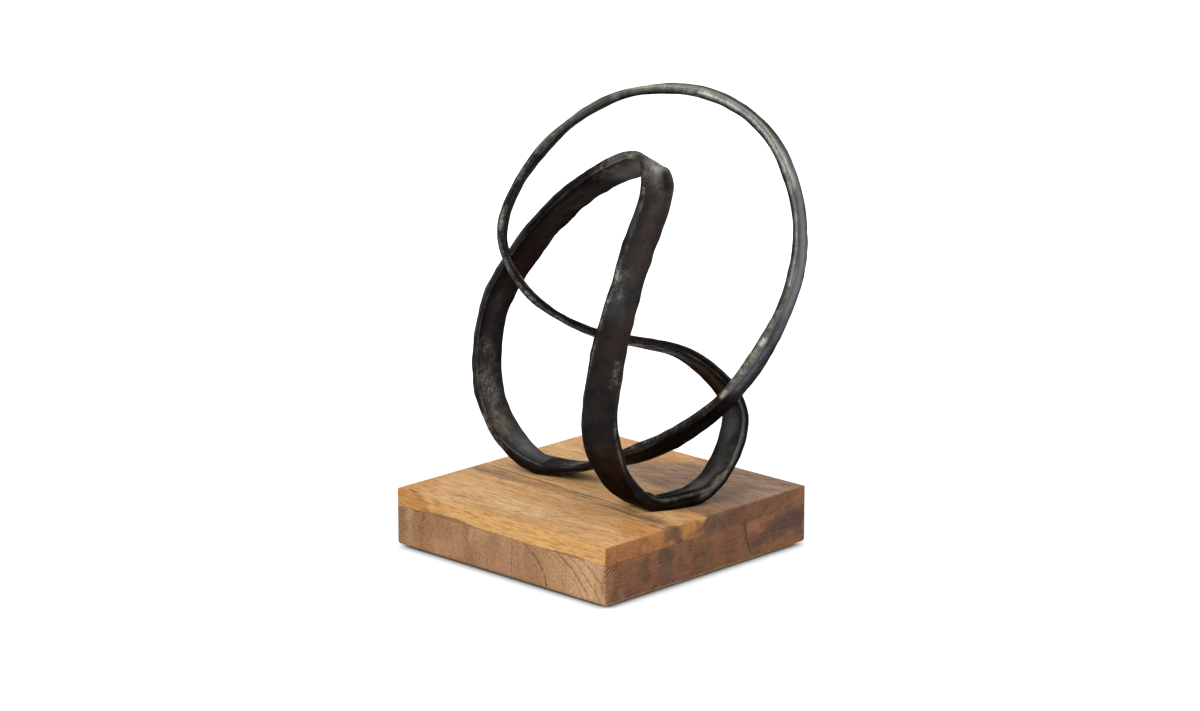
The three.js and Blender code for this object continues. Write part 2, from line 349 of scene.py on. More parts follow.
def timber_group() -> bpy.types.NodeTree:
    """Group that puts out the figure of solid timber whose grain runs along the vector's X.

    The growth rings are circles round a pith line along X: the distance to it, bent by slow noise,
    is cut into rings by its fraction. Fibres and pores are noise drawn out along X.

    Returns:
        The group.
    """
    made, tree, given, result = new_group(
        "Timber",
        {"Vector": "Vector", "Pith": "Vector", "Ring Width": "Float", "Waver": "Float"},
        {"Rings": "Float", "Fibre": "Float", "Pores": "Float"},
    )
    vector = given["Vector"]
    flat = tree.vector("MULTIPLY", tree.vector("SUBTRACT", vector, given["Pith"]), (0.0, 1.0, 1.0))
    slow = tree.wander(tree.stretched(vector, (0.22, 1.0, 1.0)), 22.0, 2.0, 0.5)
    bent = tree.plus(tree.measure("LENGTH", flat), tree.times(slow, given["Waver"]))
    part = tree.math("FRACT", tree.math("DIVIDE", bent, given["Ring Width"]))
    early, late = tree.remap(part, 0.45, 0.93), tree.remap(part, 0.93, 1.0, 1.0, 0.0)
    tree.feed(result["Rings"], tree.times(early, late))
    fibre = tree.noise(tree.stretched(vector, (0.1, 1.0, 1.0)), 620.0, 4.0, 0.65)
    tree.feed(result["Fibre"], fibre)
    pores = tree.noise(tree.stretched(vector, (0.16, 1.0, 1.0)), 1250.0, 2.0, 0.6)
    tree.feed(result["Pores"], tree.remap(pores, 0.58, 0.7))
    return made


def stain_group() -> bpy.types.NodeTree:
    """Group that puts out a soft ellipsoid: a smooth step of the length of (vector - at) / reach.

    Returns:
        The group.
    """
    made, tree, given, result = new_group(
        "Stain", {"Vector": "Vector", "At": "Vector", "Reach": "Vector"}, {"Mask": "Float"}
    )
    off = tree.vector("SUBTRACT", given["Vector"], given["At"])
    length = tree.measure("LENGTH", tree.vector("DIVIDE", off, given["Reach"]))
    tree.feed(result["Mask"], tree.remap(length, 0.45, 1.15, 1.0, 0.0))
    return made


@dataclass(frozen=True)
class Blotch:
    """Soft blotches: the scale of their noise, and the values that it is sharpened between."""

    scale: float
    low: float
    high: float


@dataclass(frozen=True)
class Stain:
    """A soft-edged body of another colour in a board: an ellipsoid, in millimetres."""

    at: Place
    reach: Place
    colour: Colour
    strength: float


class Groups:
    """The shader node groups that several finishes share, and the ways to place them."""

    FIBRE_TINT: Colour = (0.60, 0.46, 0.34)
    PORE_TINT: Colour = (0.40, 0.25, 0.15)
    SPECULAR: float = 0.2
    SMOOTHEST: float = 0.50
    FIBRE_ROUGHNESS: float = 0.16

    def __init__(self) -> None:
        """Build each group once."""
        self.mottle = mottle_group()
        self.timber = timber_group()
        self.stain = stain_group()

    def warped(self, tree: Tree, vector: Socket, scale: float, amount: float) -> Socket:
        """A vector moved by noise.

        Args:
            tree: The material's helper.
            vector: The vector.
            scale: Scale of the noise.
            amount: Twice the farthest move each way, in metres.

        Returns:
            The moved vector.
        """
        inputs = {"Vector": vector, "Scale": scale, "Detail": 3.0}
        shake = tree.node("TexNoise", inputs).outputs["Color"]
        centred = tree.vector("SUBTRACT", shake, (0.5, 0.5, 0.5))
        return tree.vector("MULTIPLY_ADD", centred, (amount, amount, amount), vector)

    def stained(self, tree: Tree, colour: Socket, vector: Socket, stains: tuple[Stain, ...]
                ) -> Socket:
        """A colour with every stain laid over it in turn.

        Args:
            tree: The material's helper.
            colour: The colour underneath.
            vector: The place, in metres.
            stains: The stains.

        Returns:
            The stained colour.
        """
        for stain in stains:
            at = tuple(part * MM for part in stain.at)
            reach = tuple(part * MM for part in stain.reach)
            mask = tree.group(self.stain, {"Vector": vector, "At": at, "Reach": reach})["Mask"]
            colour = tree.mix(tree.times(mask, stain.strength), colour, stain.colour)
        return colour

    def blotched(self, tree: Tree, vector: Socket, kind: Blotch) -> Socket:
        """Mask of soft blotches of one kind."""
        inputs = {"Vector": vector, "Scale": kind.scale, "Low": kind.low, "High": kind.high}
        return tree.group(self.mottle, inputs)["Mask"]

    def figure(self, tree: Tree, vector: Socket, pith: Place, ring_width: float,
               waver: float) -> Any:
        """Outputs of the timber's figure, by name."""
        inputs = {"Vector": vector, "Pith": pith, "Ring Width": ring_width, "Waver": waver}
        return tree.group(self.timber, inputs)

    def grain(self, tree: Tree, colour: Socket, figure: Any, strength: float) -> Socket:
        """A wood colour with its fibres and pores drawn in.

        Args:
            tree: The material's helper.
            colour: The wood's colour.
            figure: Outputs of the timber's figure.
            strength: How dark the fibres and pores are, from 0 to 1.

        Returns:
            The colour with its grain.
        """
        fibre = tree.remap(figure["Fibre"], 0.445, 0.66, 0.0, strength)
        colour = tree.mix(fibre, colour, self.FIBRE_TINT, "MULTIPLY")
        pores = tree.times(figure["Pores"], strength)
        return tree.mix(pores, colour, self.PORE_TINT, "MULTIPLY")

    def finish_wood(self, tree: Tree, shader: bpy.types.Node, colour: Socket, figure: Any,
                    hollow: Socket) -> None:
        """Join a wood's colour, satin roughness and fine relief to its shader.

        Args:
            tree: The material's helper.
            shader: Its Principled shader.
            colour: The wood's colour.
            figure: Outputs of the timber's figure.
            hollow: Where the wood is cracked, from 0 to 1.
        """
        tree.feed(shader.inputs["Base Color"], colour)
        shader.inputs["Specular IOR Level"].default_value = self.SPECULAR
        rough = tree.plus(self.SMOOTHEST, tree.times(figure["Fibre"], self.FIBRE_ROUGHNESS))
        tree.feed(shader.inputs["Roughness"], rough)
        relief = tree.minus(tree.times(figure["Fibre"], 0.6), tree.times(figure["Pores"], 0.5))
        height = tree.minus(relief, tree.times(hollow, 2.0))
        add_relief(tree, shader, height, 0.35, 0.3 * MM)


def add_relief(tree: Tree, shader: bpy.types.Node, height: Socket, strength: float,
               depth: float) -> None:
    """Join a height to a shader's normal through a Bump node, with its strength and depth."""
    bump = tree.node("Bump", {"Strength": strength, "Distance": depth, "Height": height})
    tree.feed(shader.inputs["Normal"], bump.outputs["Normal"])


def new_material(name: str) -> tuple[bpy.types.Material, Tree, bpy.types.Node]:
    """Start a material with a Principled shader.

    Args:
        name: Name of the material.

    Returns:
        The material, the helper that adds its nodes, and its shader node.
    """
    made = bpy.data.materials.new(name)
    made.use_nodes = True
    made.node_tree.nodes.clear()
    tree = Tree(made.node_tree)
    shader = tree.node("BsdfPrincipled")
    tree.node("OutputMaterial", {"Surface": shader.outputs["BSDF"]})
    return made, tree, shader


def dress(piece: bpy.types.Object, material: bpy.types.Material) -> None:
    """Give a piece its material.

    Args:
        piece: The piece.
        material: Its only material.
    """
    piece.data.materials.clear()
    piece.data.materials.append(material)


# Finishes


@dataclass(frozen=True)
class ForgedPatina:
    """Dark oiled patina on hammered metal, bare to pewter on arrises and high spots, with painted
    highlights, painted sheen and painted shade.
    """

    black: Colour = (0.0065, 0.006, 0.0062)
    brown: Colour = (0.017, 0.0125, 0.0105)
    red: Colour = (0.047, 0.025, 0.018)
    # Bare metal where the patina wears through, also the colour of the painted highlights on
    # arrises and patches
    tan: Colour = (0.30, 0.255, 0.19)
    pewter: Colour = (0.34, 0.33, 0.31)
    # Painted bluish-grey sheen
    blue: Colour = (0.12, 0.13, 0.155)
    # Pale grey-tan: partly patina, partly painted sheen
    pale: Colour = (0.30, 0.275, 0.235)
    # Painted highlight
    bright: Colour = (0.66, 0.64, 0.58)
    sheen: Colour = (0.40, 0.38, 0.37)
    metallic: float = 0.85
    specular: float = 0.25
    broad: Blotch = Blotch(38.0, 0.40, 0.62)
    small: Blotch = Blotch(150.0, 0.42, 0.62)
    scuffs: Blotch = Blotch(330.0, 0.38, 0.60)
    patches: Blotch = Blotch(70.0, 0.42, 0.62)
    specks: Blotch = Blotch(620.0, 0.57, 0.72)

    def material(self, groups: Groups) -> bpy.types.Material:
        """Build the material, which reads the band's own attributes for its wear and tints, and for
        where highlights, sheen and shade are painted.

        Args:
            groups: The shared node groups.

        Returns:
            The material.
        """
        made, tree, shader = new_material("forged_patina")
        place = tree.place()
        broad = groups.blotched(tree, place, self.broad)
        small = groups.blotched(tree, place, self.small)
        colour = tree.mix(broad, self.black, self.brown)
        # Red is patina; the bluish-grey tint is painted sheen; pale is partly patina and partly
        # painted sheen
        for name, tint, least, most in (
            ("red", self.red, 0.4, 1.0),
            ("blue", self.blue, 1.0, 0.55),
            ("pale", self.pale, 0.55, 1.0),
        ):
            colour = tree.mix(self.marked(tree, name, small, least, most), colour, tint)
        # Bare metal on arrises and patches of wear, partly painted highlight
        worn_and_painted_highlight = self.worn_and_painted_highlight(groups, tree, place, small)
        colour = tree.mix(worn_and_painted_highlight, colour, tree.mix(broad, self.pewter, self.tan))
        # Painted highlight on arrises, ridges and the fold
        colour = tree.mix(self.marked(tree, "bright", small, 0.65, 1.0), colour, self.bright)
        # Painted shade: black, duller patina where the band lies in shade, on inner faces, beside
        # ridges and under the fold
        soot = self.marked(tree, "soot", small, 1.0, 0.8)
        tree.feed(shader.inputs["Base Color"], tree.mix(soot, colour, self.black))
        shader.inputs["Metallic"].default_value = self.metallic
        shader.inputs["Specular IOR Level"].default_value = self.specular
        shader.inputs["Specular Tint"].default_value = (*self.sheen, 1.0)
        rough = tree.plus(tree.remap(small, 0.0, 1.0, 0.36, 0.50), tree.times(worn_and_painted_highlight, -0.06))
        dull = tree.math("ADD", rough, tree.times(soot, 0.45), clamp=True)
        tree.feed(shader.inputs["Roughness"], dull)
        pits = tree.noise(place, 900.0, 3.0, 0.65)
        dimples = tree.noise(place, 210.0, 2.0, 0.5)
        add_relief(tree, shader, tree.plus(tree.times(pits, 0.22), dimples), 0.24, 0.6 * MM)
        return made

    def marked(self, tree: Tree, name: str, spots: Socket, least: float, most: float) -> Socket:
        """One of the band's attributes, broken up by spots between two strengths."""
        return tree.times(tree.attribute(name), tree.remap(spots, 0, 1, least, most))

    def worn_and_painted_highlight(self, groups: Groups, tree: Tree, place: Socket, small: Socket) -> Socket:
        """Where bare metal shows and highlights are painted: patches of wear and arrises, both
        partly painted highlight, and fine specks.

        Args:
            groups: The shared node groups.
            tree: The material's helper.
            place: Object coordinates.
            small: The patina's small blotches.

        Returns:
            The share of bare metal and painted highlight, from 0 to 1.
        """
        scuffs = groups.blotched(tree, place, self.scuffs)
        broken = tree.times(tree.remap(small, 0, 1, 0.22, 1.0), tree.remap(scuffs, 0, 1, 0.22, 1.0))
        # Patches of wear, partly painted highlight
        rubbed = tree.times(tree.attribute("rubbed"), broken)
        patches = groups.blotched(tree, place, self.patches)
        # Arrises bare to pewter, partly painted highlight
        arris = self.marked(tree, "arris", patches, 0.05, 0.45)
        specks = groups.blotched(tree, place, self.specks)
        edges = tree.larger(rubbed, arris)
        return tree.math("MAXIMUM", edges, tree.times(specks, 0.08), clamp=True)


@dataclass(frozen=True)
class Vein:
    """A thin dark line across a board's top, in millimetres.

    It lies at y = left where x is -100 and at y = right where x is 100, and shows from start to
    end along x.
    """

    left: float
    right: float
    start: float
    end: float
    width: float
    strength: float


@dataclass(frozen=True)
class Hump:
    """Where brown wood rises over the glue line: at x, full to near, gone past far, all in mm."""

    x: float
    near: float
    far: float
    height: float


@dataclass(frozen=True)
class Arc:
    """A dark growth ring in end grain: a circle round (x, z), in millimetres."""

    x: float
    z: float
    radius: float
    width: float
    strength: float


ORANGE: Colour = (0.66, 0.28, 0.075)
OLIVE: Colour = (0.40, 0.235, 0.105)
UMBER: Colour = (0.16, 0.095, 0.05)
YELLOW: Colour = (0.86, 0.46, 0.145)

GOLDEN_STAINS: tuple[Stain, ...] = (
    # Top: orange at the left corner and at the right edge, an olive streak and its dark end
    Stain((-104, -88, 42), (30, 34, 6), ORANGE, 0.60),
    Stain((98, -50, 42), (42, 26, 6), ORANGE, 0.62),
    Stain((45, -95, 42), (60, 9, 4), YELLOW, 0.45),
    Stain((-75, -28, 42), (70, 8, 9), OLIVE, 0.60),
    Stain((15, -28, 42), (75, 6, 9), OLIVE, 0.45),
    Stain((74, -31, 42), (24, 9, 6), UMBER, 0.60),
    Stain((88, 14, 42), (24, 19, 5), (0.43, 0.215, 0.105), 0.62),
    Stain((97, -7, 43), (16, 7, 5), YELLOW, 0.85),
    Stain((-15, 82, 42), (16, 20, 5), ORANGE, 0.30),
    Stain((5, -72, 42), (45, 15, 4), (0.98, 0.70, 0.38), 0.45),
    Stain((87, 41, 42), (15, 13, 5), (0.20, 0.12, 0.075), 0.35),
    Stain((73, 83, 42), (24, 13, 5), (0.66, 0.46, 0.32), 0.35),
    # Left face: browner orange at its left end, bright spots along its middle
    Stain((-92, -101, 37), (48, 5, 12), (0.58, 0.245, 0.06), 0.75),
    Stain((-40, -101, 36), (30, 4, 6), YELLOW, 0.45),
    Stain((10, -101, 39), (22, 4, 5), (0.92, 0.53, 0.14), 0.55),
    Stain((48, -101, 36), (34, 4, 5), (0.92, 0.53, 0.14), 0.45),
    # Right face: two dark smudges with golden wood beside them, brown beyond
    Stain((101, -39, 38.5), (7, 8, 5), (0.085, 0.058, 0.032), 0.62),
    Stain((101, -33, 37), (7, 5.5, 5), (0.095, 0.062, 0.034), 0.62),
    Stain((101, -27, 33), (5, 4.5, 4.0), (0.085, 0.055, 0.03), 0.75),
    Stain((101, -19, 38.5), (9, 8.5, 6.5), (0.66, 0.30, 0.085), 0.90),
    Stain((101, -12, 34.5), (4, 6, 2.2), (0.10, 0.055, 0.03), 0.70),
    Stain((101, -8, 31.5), (6, 7, 2.6), (0.46, 0.19, 0.085), 0.75),
    Stain((101, 2, 36), (7, 9, 8), (0.15, 0.085, 0.042), 0.65),
    Stain((101, 18, 38), (7, 14, 6), (0.115, 0.07, 0.034), 0.70),
    Stain((101, 48, 36), (6, 12, 7), (0.26, 0.115, 0.05), 0.40),
    Stain((101, 94, 36), (6, 13, 12), (0.36, 0.15, 0.06), 0.75),
)
GOLDEN_VEINS: tuple[Vein, ...] = (
    Vein(-18.5, -27.5, -100, 58, 1.5, 0.80),
    Vein(-22.5, -29.5, -20, 66, 1.2, 0.45),
    Vein(-30.5, -31.5, -100, -32, 1.3, 0.80),
    Vein(-34.8, -34.0, -78, -22, 1.0, 0.75),
    Vein(-24.0, -35.5, 24, 100, 2.0, 0.65),
    Vein(-28.0, -40.5, 50, 100, 1.2, 0.50),
    Vein(-49.0, -48.0, -18, 12, 0.8, 0.50),
    Vein(-66.0, -60.0, -95, -40, 0.9, 0.30),
    Vein(-78.0, -74.0, -40, 60, 0.8, 0.22),
    Vein(-92.0, -93.0, -60, 70, 0.9, 0.35),
    Vein(-25.0, 98.0, -14, 100, 1.8, 0.75),
    Vein(-11.0, 110.0, -24, 90, 2.4, 0.65),
    Vein(-20.0, 104.0, -10, 80, 1.0, 0.50),
    Vein(-36.0, 82.0, 8, 100, 1.8, 0.60),
    Vein(4.0, 118.0, -30, 60, 1.6, 0.50),
)
BROWN_STAINS: tuple[Stain, ...] = (
    # Left face: soft upright bands of grey, pink and pale brown
    Stain((-98, -101, 15), (9, 9, 40), (0.24, 0.135, 0.065), 0.55),
    Stain((-79, -101, 20), (9, 9, 15), (0.27, 0.135, 0.06), 0.50),
    Stain((-74, -101, 25), (0.8, 9, 6), (0.14, 0.07, 0.035), 0.80),
    Stain((-78, -101, 16), (0.9, 9, 4), (0.14, 0.07, 0.035), 0.70),
    Stain((-80, -101, 29), (5, 9, 1.5), (0.14, 0.07, 0.035), 0.70),
    Stain((-58, -101, 22), (16, 9, 9), (0.40, 0.19, 0.10), 0.50),
    Stain((-44, -101, 11), (14, 9, 8), (0.52, 0.28, 0.15), 0.45),
    Stain((-27, -101, 24), (2.4, 9, 9), (0.60, 0.38, 0.24), 0.60),
    Stain((-5, -101, 21), (9, 9, 14), (0.35, 0.205, 0.12), 0.45),
    Stain((4, -101, 8), (9, 9, 8), (0.52, 0.26, 0.16), 0.45),
    Stain((12, -101, 9), (1.2, 9, 7), (0.20, 0.10, 0.05), 0.60),
    Stain((96, -101, 15), (7, 9, 18), (0.66, 0.36, 0.20), 0.50),
    # Right face: orange at the front corner, grey and brown blotches, plum beyond the crack
    Stain((101, -97, 18), (6, 8, 16), (0.42, 0.185, 0.075), 0.60),
    Stain((101, -80, 17), (6, 9, 11), (0.24, 0.105, 0.05), 0.55),
    Stain((101, -66, 27), (6, 10, 4), (0.30, 0.14, 0.065), 0.50),
    Stain((101, -62, 19), (6, 7, 11), (0.082, 0.055, 0.03), 0.55),
    Stain((101, -42, 24), (6, 9, 7), (0.078, 0.047, 0.028), 0.55),
    Stain((101, -27, 25), (6, 9, 6), (0.26, 0.125, 0.06), 0.55),
    Stain((101, -21, 8), (6, 13, 7), (0.31, 0.13, 0.05), 0.50),
    Stain((101, 8, 26), (6, 8, 6), (0.33, 0.13, 0.05), 0.60),
    Stain((101, 22, 14), (6, 12, 9), (0.17, 0.075, 0.036), 0.50),
    Stain((101, 45, 26.5), (6, 9, 4.2), (0.38, 0.165, 0.08), 0.85),
    Stain((101, 54, 15), (6, 16, 7), (0.075, 0.04, 0.03), 0.65),
    Stain((101, 82, 21), (6, 26, 9), (0.075, 0.04, 0.032), 0.75),
    Stain((101, 80, 5), (6, 26, 4.5), (0.33, 0.13, 0.045), 0.85),
    Stain((101, 101, 12), (5, 5, 16), (0.30, 0.13, 0.06), 0.70),
)
BROWN_ARCS: tuple[Arc, ...] = (
    Arc(13, -3, 33.5, 1.5, 0.95),
    Arc(10, -3, 25.0, 1.0, 0.30),
    Arc(12, -4, 29.5, 0.9, 0.25),
    Arc(20, -12, 46.0, 1.0, 0.35),
    Arc(28, -28, 60.0, 1.1, 0.45),
    Arc(30, -30, 64.5, 1.9, 0.70),
    Arc(34, -34, 71.5, 1.4, 0.50),
    Arc(38, -38, 79.0, 1.8, 0.55),
)


@dataclass(frozen=True)
class GoldenBoard:
    """Oiled board with grain along X: golden sapwood, an olive streak and brown heartwood."""

    pale: Colour = (0.93, 0.60, 0.285)
    deep: Colour = (0.73, 0.405, 0.16)
    honey: Colour = (0.84, 0.45, 0.15)
    heart: Colour = (0.48, 0.31, 0.20)
    heart_deep: Colour = (0.33, 0.20, 0.12)
    line: Colour = (0.19, 0.105, 0.05)
    end_tint: Colour = (0.56, 0.39, 0.29)
    ring_tint: Colour = (0.45, 0.30, 0.2)
    brown: Colour = (0.30, 0.165, 0.085)
    check_dark: Colour = (0.06, 0.03, 0.018)
    grain: float = 0.85
    cloud: Blotch = Blotch(40.0, 0.36, 0.66)
    wisps: Blotch = Blotch(150.0, 0.44, 0.64)
    half_side: float = BASE_SIDE / 2
    pith: Place = (0.0, 0.13, -0.16)
    ring_width: float = 9.0 * MM
    waver: float = 0.05
    front_slope: float = 0.37
    side_slope: float = 0.5
    heart_wander: float = 70.0 * MM
    vein_lean: float = 0.9
    vein_wander: float = 16.0 * MM
    vein_fade: Range = (6.0, 14.0)
    humps: tuple[Hump, ...] = (Hump(-50, 8, 36, 2.6), Hump(66, 6, 20, 1.4))
    hump_wander: float = 2.6 * MM
    check_middle: float = -87.0 * MM
    check_line: float = -107.5 * MM
    check_slope: float = 0.12

    def material(self, groups: Groups) -> bpy.types.Material:
        """Build the material: each region is a smooth step of the place, moved by slow noise.

        Args:
            groups: The shared node groups.

        Returns:
            The material.
        """
        made, tree, shader = new_material("golden_wood")
        place = tree.place()
        x, y, z = tree.axes(place)
        drawn = tree.place(scale=(0.2, 1.0, 1.0))
        slow = tree.wander(drawn, 26.0, 3.0)
        figure = groups.figure(tree, place, self.pith, self.ring_width, self.waver)
        cloud = groups.blotched(tree, drawn, self.cloud)
        wisps = groups.blotched(tree, tree.place(scale=(0.12, 1.0, 1.0)), self.wisps)
        colour = tree.mix(cloud, self.pale, self.deep)
        colour = tree.mix(tree.times(wisps, 0.35), colour, ORANGE)
        flank = tree.remap(tree.size(y), self.half_side - 2.2 * MM, self.half_side)
        colour = tree.mix(tree.times(flank, 0.7), colour, self.honey)
        heart = self.heartwood(tree, x, y, slow)
        shade = tree.mix(tree.larger(cloud, wisps), self.heart, self.heart_deep)
        colour = tree.mix(heart, colour, shade)
        edge = tree.remap(tree.size(x), self.half_side - 1.2 * MM, self.half_side)
        colour = tree.mix(edge, colour, self.end_tint, "MULTIPLY")
        warped = groups.warped(tree, place, 75.0, 17.0 * MM)
        colour = groups.stained(tree, colour, warped, GOLDEN_STAINS)
        colour = self.veined(tree, colour, (x, y, z), slow)
        colour = tree.mix(self.under_bark(tree, x, y, z), colour, self.brown)
        rings = tree.times(figure["Rings"], tree.remap(heart, 0.0, 1.0, 0.10, 0.22))
        colour = tree.mix(rings, colour, self.ring_tint, "MULTIPLY")
        colour = groups.grain(tree, colour, figure, self.grain)
        check = self.check(tree, x, y)
        colour = tree.mix(check, colour, self.check_dark)
        groups.finish_wood(tree, shader, colour, figure, check)
        return made

    def heartwood(self, tree: Tree, x: Socket, y: Socket, slow: Socket) -> Socket:
        """Brown corner: behind a line that runs back to the left, and right of a second one.

        Args:
            tree: The material's helper.
            x: Place along the grain.
            y: Place across it.
            slow: Noise that moves both lines.

        Returns:
            The share of heartwood, from 0 to 1.
        """
        moved = tree.plus(y, tree.times(slow, self.heart_wander))
        back = tree.plus(moved, tree.times(x, self.front_slope))
        side = tree.minus(tree.times(x, self.side_slope), moved)
        behind, beside = tree.remap(back, 16 * MM, 42 * MM), tree.remap(side, -96 * MM, -74 * MM)
        return tree.times(behind, beside)

    def veined(self, tree: Tree, colour: Socket, place: tuple[Socket, Socket, Socket],
               slow: Socket) -> Socket:
        """Draw the thin dark lines, leaning over with depth and wavering along the grain.

        Args:
            tree: The material's helper.
            colour: The wood's colour.
            place: The x, y and z of the place.
            slow: Noise that the lines waver by.

        Returns:
            The colour with its veins.
        """
        x, y, z = place
        fade_out, fade_in = self.vein_fade
        lean = tree.times(tree.minus(z, BASE_TOP), self.vein_lean)
        moved = tree.plus(y, lean, tree.times(slow, self.vein_wander))
        for vein in GOLDEN_VEINS:
            slope = (vein.right - vein.left) * MM / (2.0 * self.half_side)
            line = tree.plus(tree.times(x, slope), (vein.right + vein.left) * MM / 2.0)
            across = tree.around(moved, line, 0.1 * MM, vein.width * MM, vein.strength)
            begun = tree.remap(x, (vein.start - fade_out) * MM, (vein.start + fade_in) * MM)
            left = tree.remap(x, (vein.end - fade_in) * MM, (vein.end + fade_out) * MM, 1.0, 0.0)
            colour = tree.mix(tree.times(across, tree.times(begun, left)), colour, self.line)
        return colour

    def under_bark(self, tree: Tree, x: Socket, y: Socket, z: Socket) -> Socket:
        """Brown wood that rises a little over the glue line at the front left face.

        Args:
            tree: The material's helper.
            x: Place along the face.
            y: Place through it.
            z: Height.

        Returns:
            The share of brown, from 0 to 1.
        """
        rough = tree.noise(tree.place(scale=(1.0, 0.0, 0.3)), 260.0, 3.0, 0.6)
        line = tree.times(tree.minus(rough, 0.45), self.hump_wander)
        for hump in self.humps:
            near, far, height = hump.near * MM, hump.far * MM, hump.height * MM
            line = tree.plus(line, tree.around(x, hump.x * MM, near, far, height))
        over = tree.minus(tree.minus(z, GLUE_LINE), line)
        low = tree.remap(over, -0.4 * MM, 0.7 * MM, 1.0, 0.0)
        return tree.times(low, tree.remap(y, -99.5 * MM, -94 * MM, 0.85, 0.0))

    def check(self, tree: Tree, x: Socket, y: Socket) -> Socket:
        """Short dark check near the left corner of the top: a band round y + 0.12 x.

        Args:
            tree: The material's helper.
            x: Place along the grain.
            y: Place across it.

        Returns:
            The share of the check, from 0 to 1.
        """
        along = tree.around(x, self.check_middle, 2.5 * MM, 6.5 * MM)
        slanted = tree.plus(y, tree.times(x, self.check_slope))
        across = tree.around(slanted, self.check_line, 0.2 * MM, 1.2 * MM)
        return tree.times(along, across)


@dataclass(frozen=True)
class BrownBoard:
    """Oiled board with grain along Y: end grain with bent rings in front, reddish brown beside."""

    grey: Colour = (0.40, 0.20, 0.09)
    tan: Colour = (0.76, 0.47, 0.245)
    umber: Colour = (0.30, 0.155, 0.075)
    red: Colour = (0.235, 0.088, 0.034)
    plum: Colour = (0.135, 0.055, 0.027)
    amber: Colour = (0.36, 0.15, 0.06)
    ring_line: Colour = (0.17, 0.075, 0.035)
    dash_tint: Colour = (0.5, 0.36, 0.28)
    crack_dark: Colour = (0.05, 0.024, 0.016)
    grain: float = 0.68
    cloud: Blotch = Blotch(42.0, 0.36, 0.64)
    bands: Blotch = Blotch(90.0, 0.44, 0.66)
    spots: Blotch = Blotch(95.0, 0.48, 0.64)
    dark: Blotch = Blotch(42.0, 0.42, 0.60)
    dashes: Blotch = Blotch(520.0, 0.56, 0.70)
    half_side: float = BASE_SIDE / 2
    pith: Place = (0.0, 0.02, -0.06)
    ring_width: float = 8.0 * MM
    waver: float = 0.02
    ring_wander: float = 5.0 * MM
    crack_at: float = 35.5 * MM
    crack_bow: float = 7.0 * MM
    crack_wander: float = 3.0 * MM
    crack_top: float = 29.0 * MM
    crack_drop: float = 23.0 * MM
    crack_middle: float = 17.5 * MM
    shake_slope: float = 0.9
    shake_step: float = 3.8 * MM

    def material(self, groups: Groups) -> bpy.types.Material:
        """Build the material: each region is a smooth step of the place, moved by slow noise.

        Args:
            groups: The shared node groups.

        Returns:
            The material.
        """
        made, tree, shader = new_material("brown_wood")
        place = tree.place()
        x, y, z = tree.axes(place)
        turned = tree.place(turn=(0.0, 0.0, 90.0))
        figure = groups.figure(tree, turned, self.pith, self.ring_width, self.waver)
        cloud = groups.blotched(tree, tree.place(scale=(1.0, 1.0, 0.3)), self.cloud)
        bands = groups.blotched(tree, tree.place(scale=(1.0, 1.0, 0.12)), self.bands)
        right = tree.remap(x, 10 * MM, 95 * MM)
        colour = tree.mix(tree.larger(right, tree.times(cloud, 0.45)), self.grey, self.tan)
        colour = tree.mix(tree.times(bands, 0.30), colour, self.umber)
        beside = tree.remap(tree.size(x), self.half_side - 1.0 * MM, self.half_side)
        slanted = tree.place(turn=(25.0, 0.0, 0.0), scale=(1.0, 1.0, 0.4))
        spots = groups.blotched(tree, slanted, self.spots)
        dark = groups.blotched(tree, slanted, self.dark)
        flank = tree.mix(dark, self.red, self.plum)
        flank = tree.mix(tree.times(spots, 0.5), flank, self.amber)
        colour = tree.mix(tree.times(beside, 0.94), colour, flank)
        warped = groups.warped(tree, place, 80.0, 16.0 * MM)
        colour = groups.stained(tree, colour, warped, BROWN_STAINS)
        colour = self.ringed(tree, colour, x, place)
        colour = groups.grain(tree, colour, figure, self.grain)
        dashes = groups.blotched(tree, tree.place(scale=(1.0, 1.0, 0.35)), self.dashes)
        shown = tree.times(dashes, tree.remap(x, 30 * MM, 70 * MM, 0.28, 0.70))
        colour = tree.mix(shown, colour, self.dash_tint, "MULTIPLY")
        crack = tree.larger(self.crack(tree, x, y, z), self.shakes(tree, x, y, z))
        colour = tree.mix(crack, colour, self.crack_dark)
        groups.finish_wood(tree, shader, colour, figure, crack)
        return made

    def ringed(self, tree: Tree, colour: Socket, x: Socket, place: Socket) -> Socket:
        """Draw the growth rings of the front end grain, broken into dashes by noise.

        Args:
            tree: The material's helper.
            colour: The wood's colour.
            x: Place along the front face.
            place: Object coordinates.

        Returns:
            The colour with its rings.
        """
        near = tree.stretched(place, (1.0, 0.25, 1.0))
        broken = tree.remap(tree.noise(near, 420.0, 3.0, 0.65), 0.36, 0.60, 0.25, 1.0)
        waver = tree.times(tree.wander(near, 60.0, 3.0), self.ring_wander)
        ends = tree.remap(x, 96 * MM, 99.5 * MM, 1.0, 0.0)
        shown = tree.times(tree.remap(x, 12 * MM, 30 * MM), ends)
        flat = tree.vector("MULTIPLY", place, (1.0, 0.0, 1.0))
        for arc in BROWN_ARCS:
            away = tree.measure("DISTANCE", flat, (arc.x * MM, 0.0, arc.z * MM))
            bent = tree.plus(away, waver)
            across = tree.around(bent, arc.radius * MM, 0.1 * MM, arc.width * MM, arc.strength)
            colour = tree.mix(tree.times(across, broken, shown), colour, self.ring_line)
        return colour

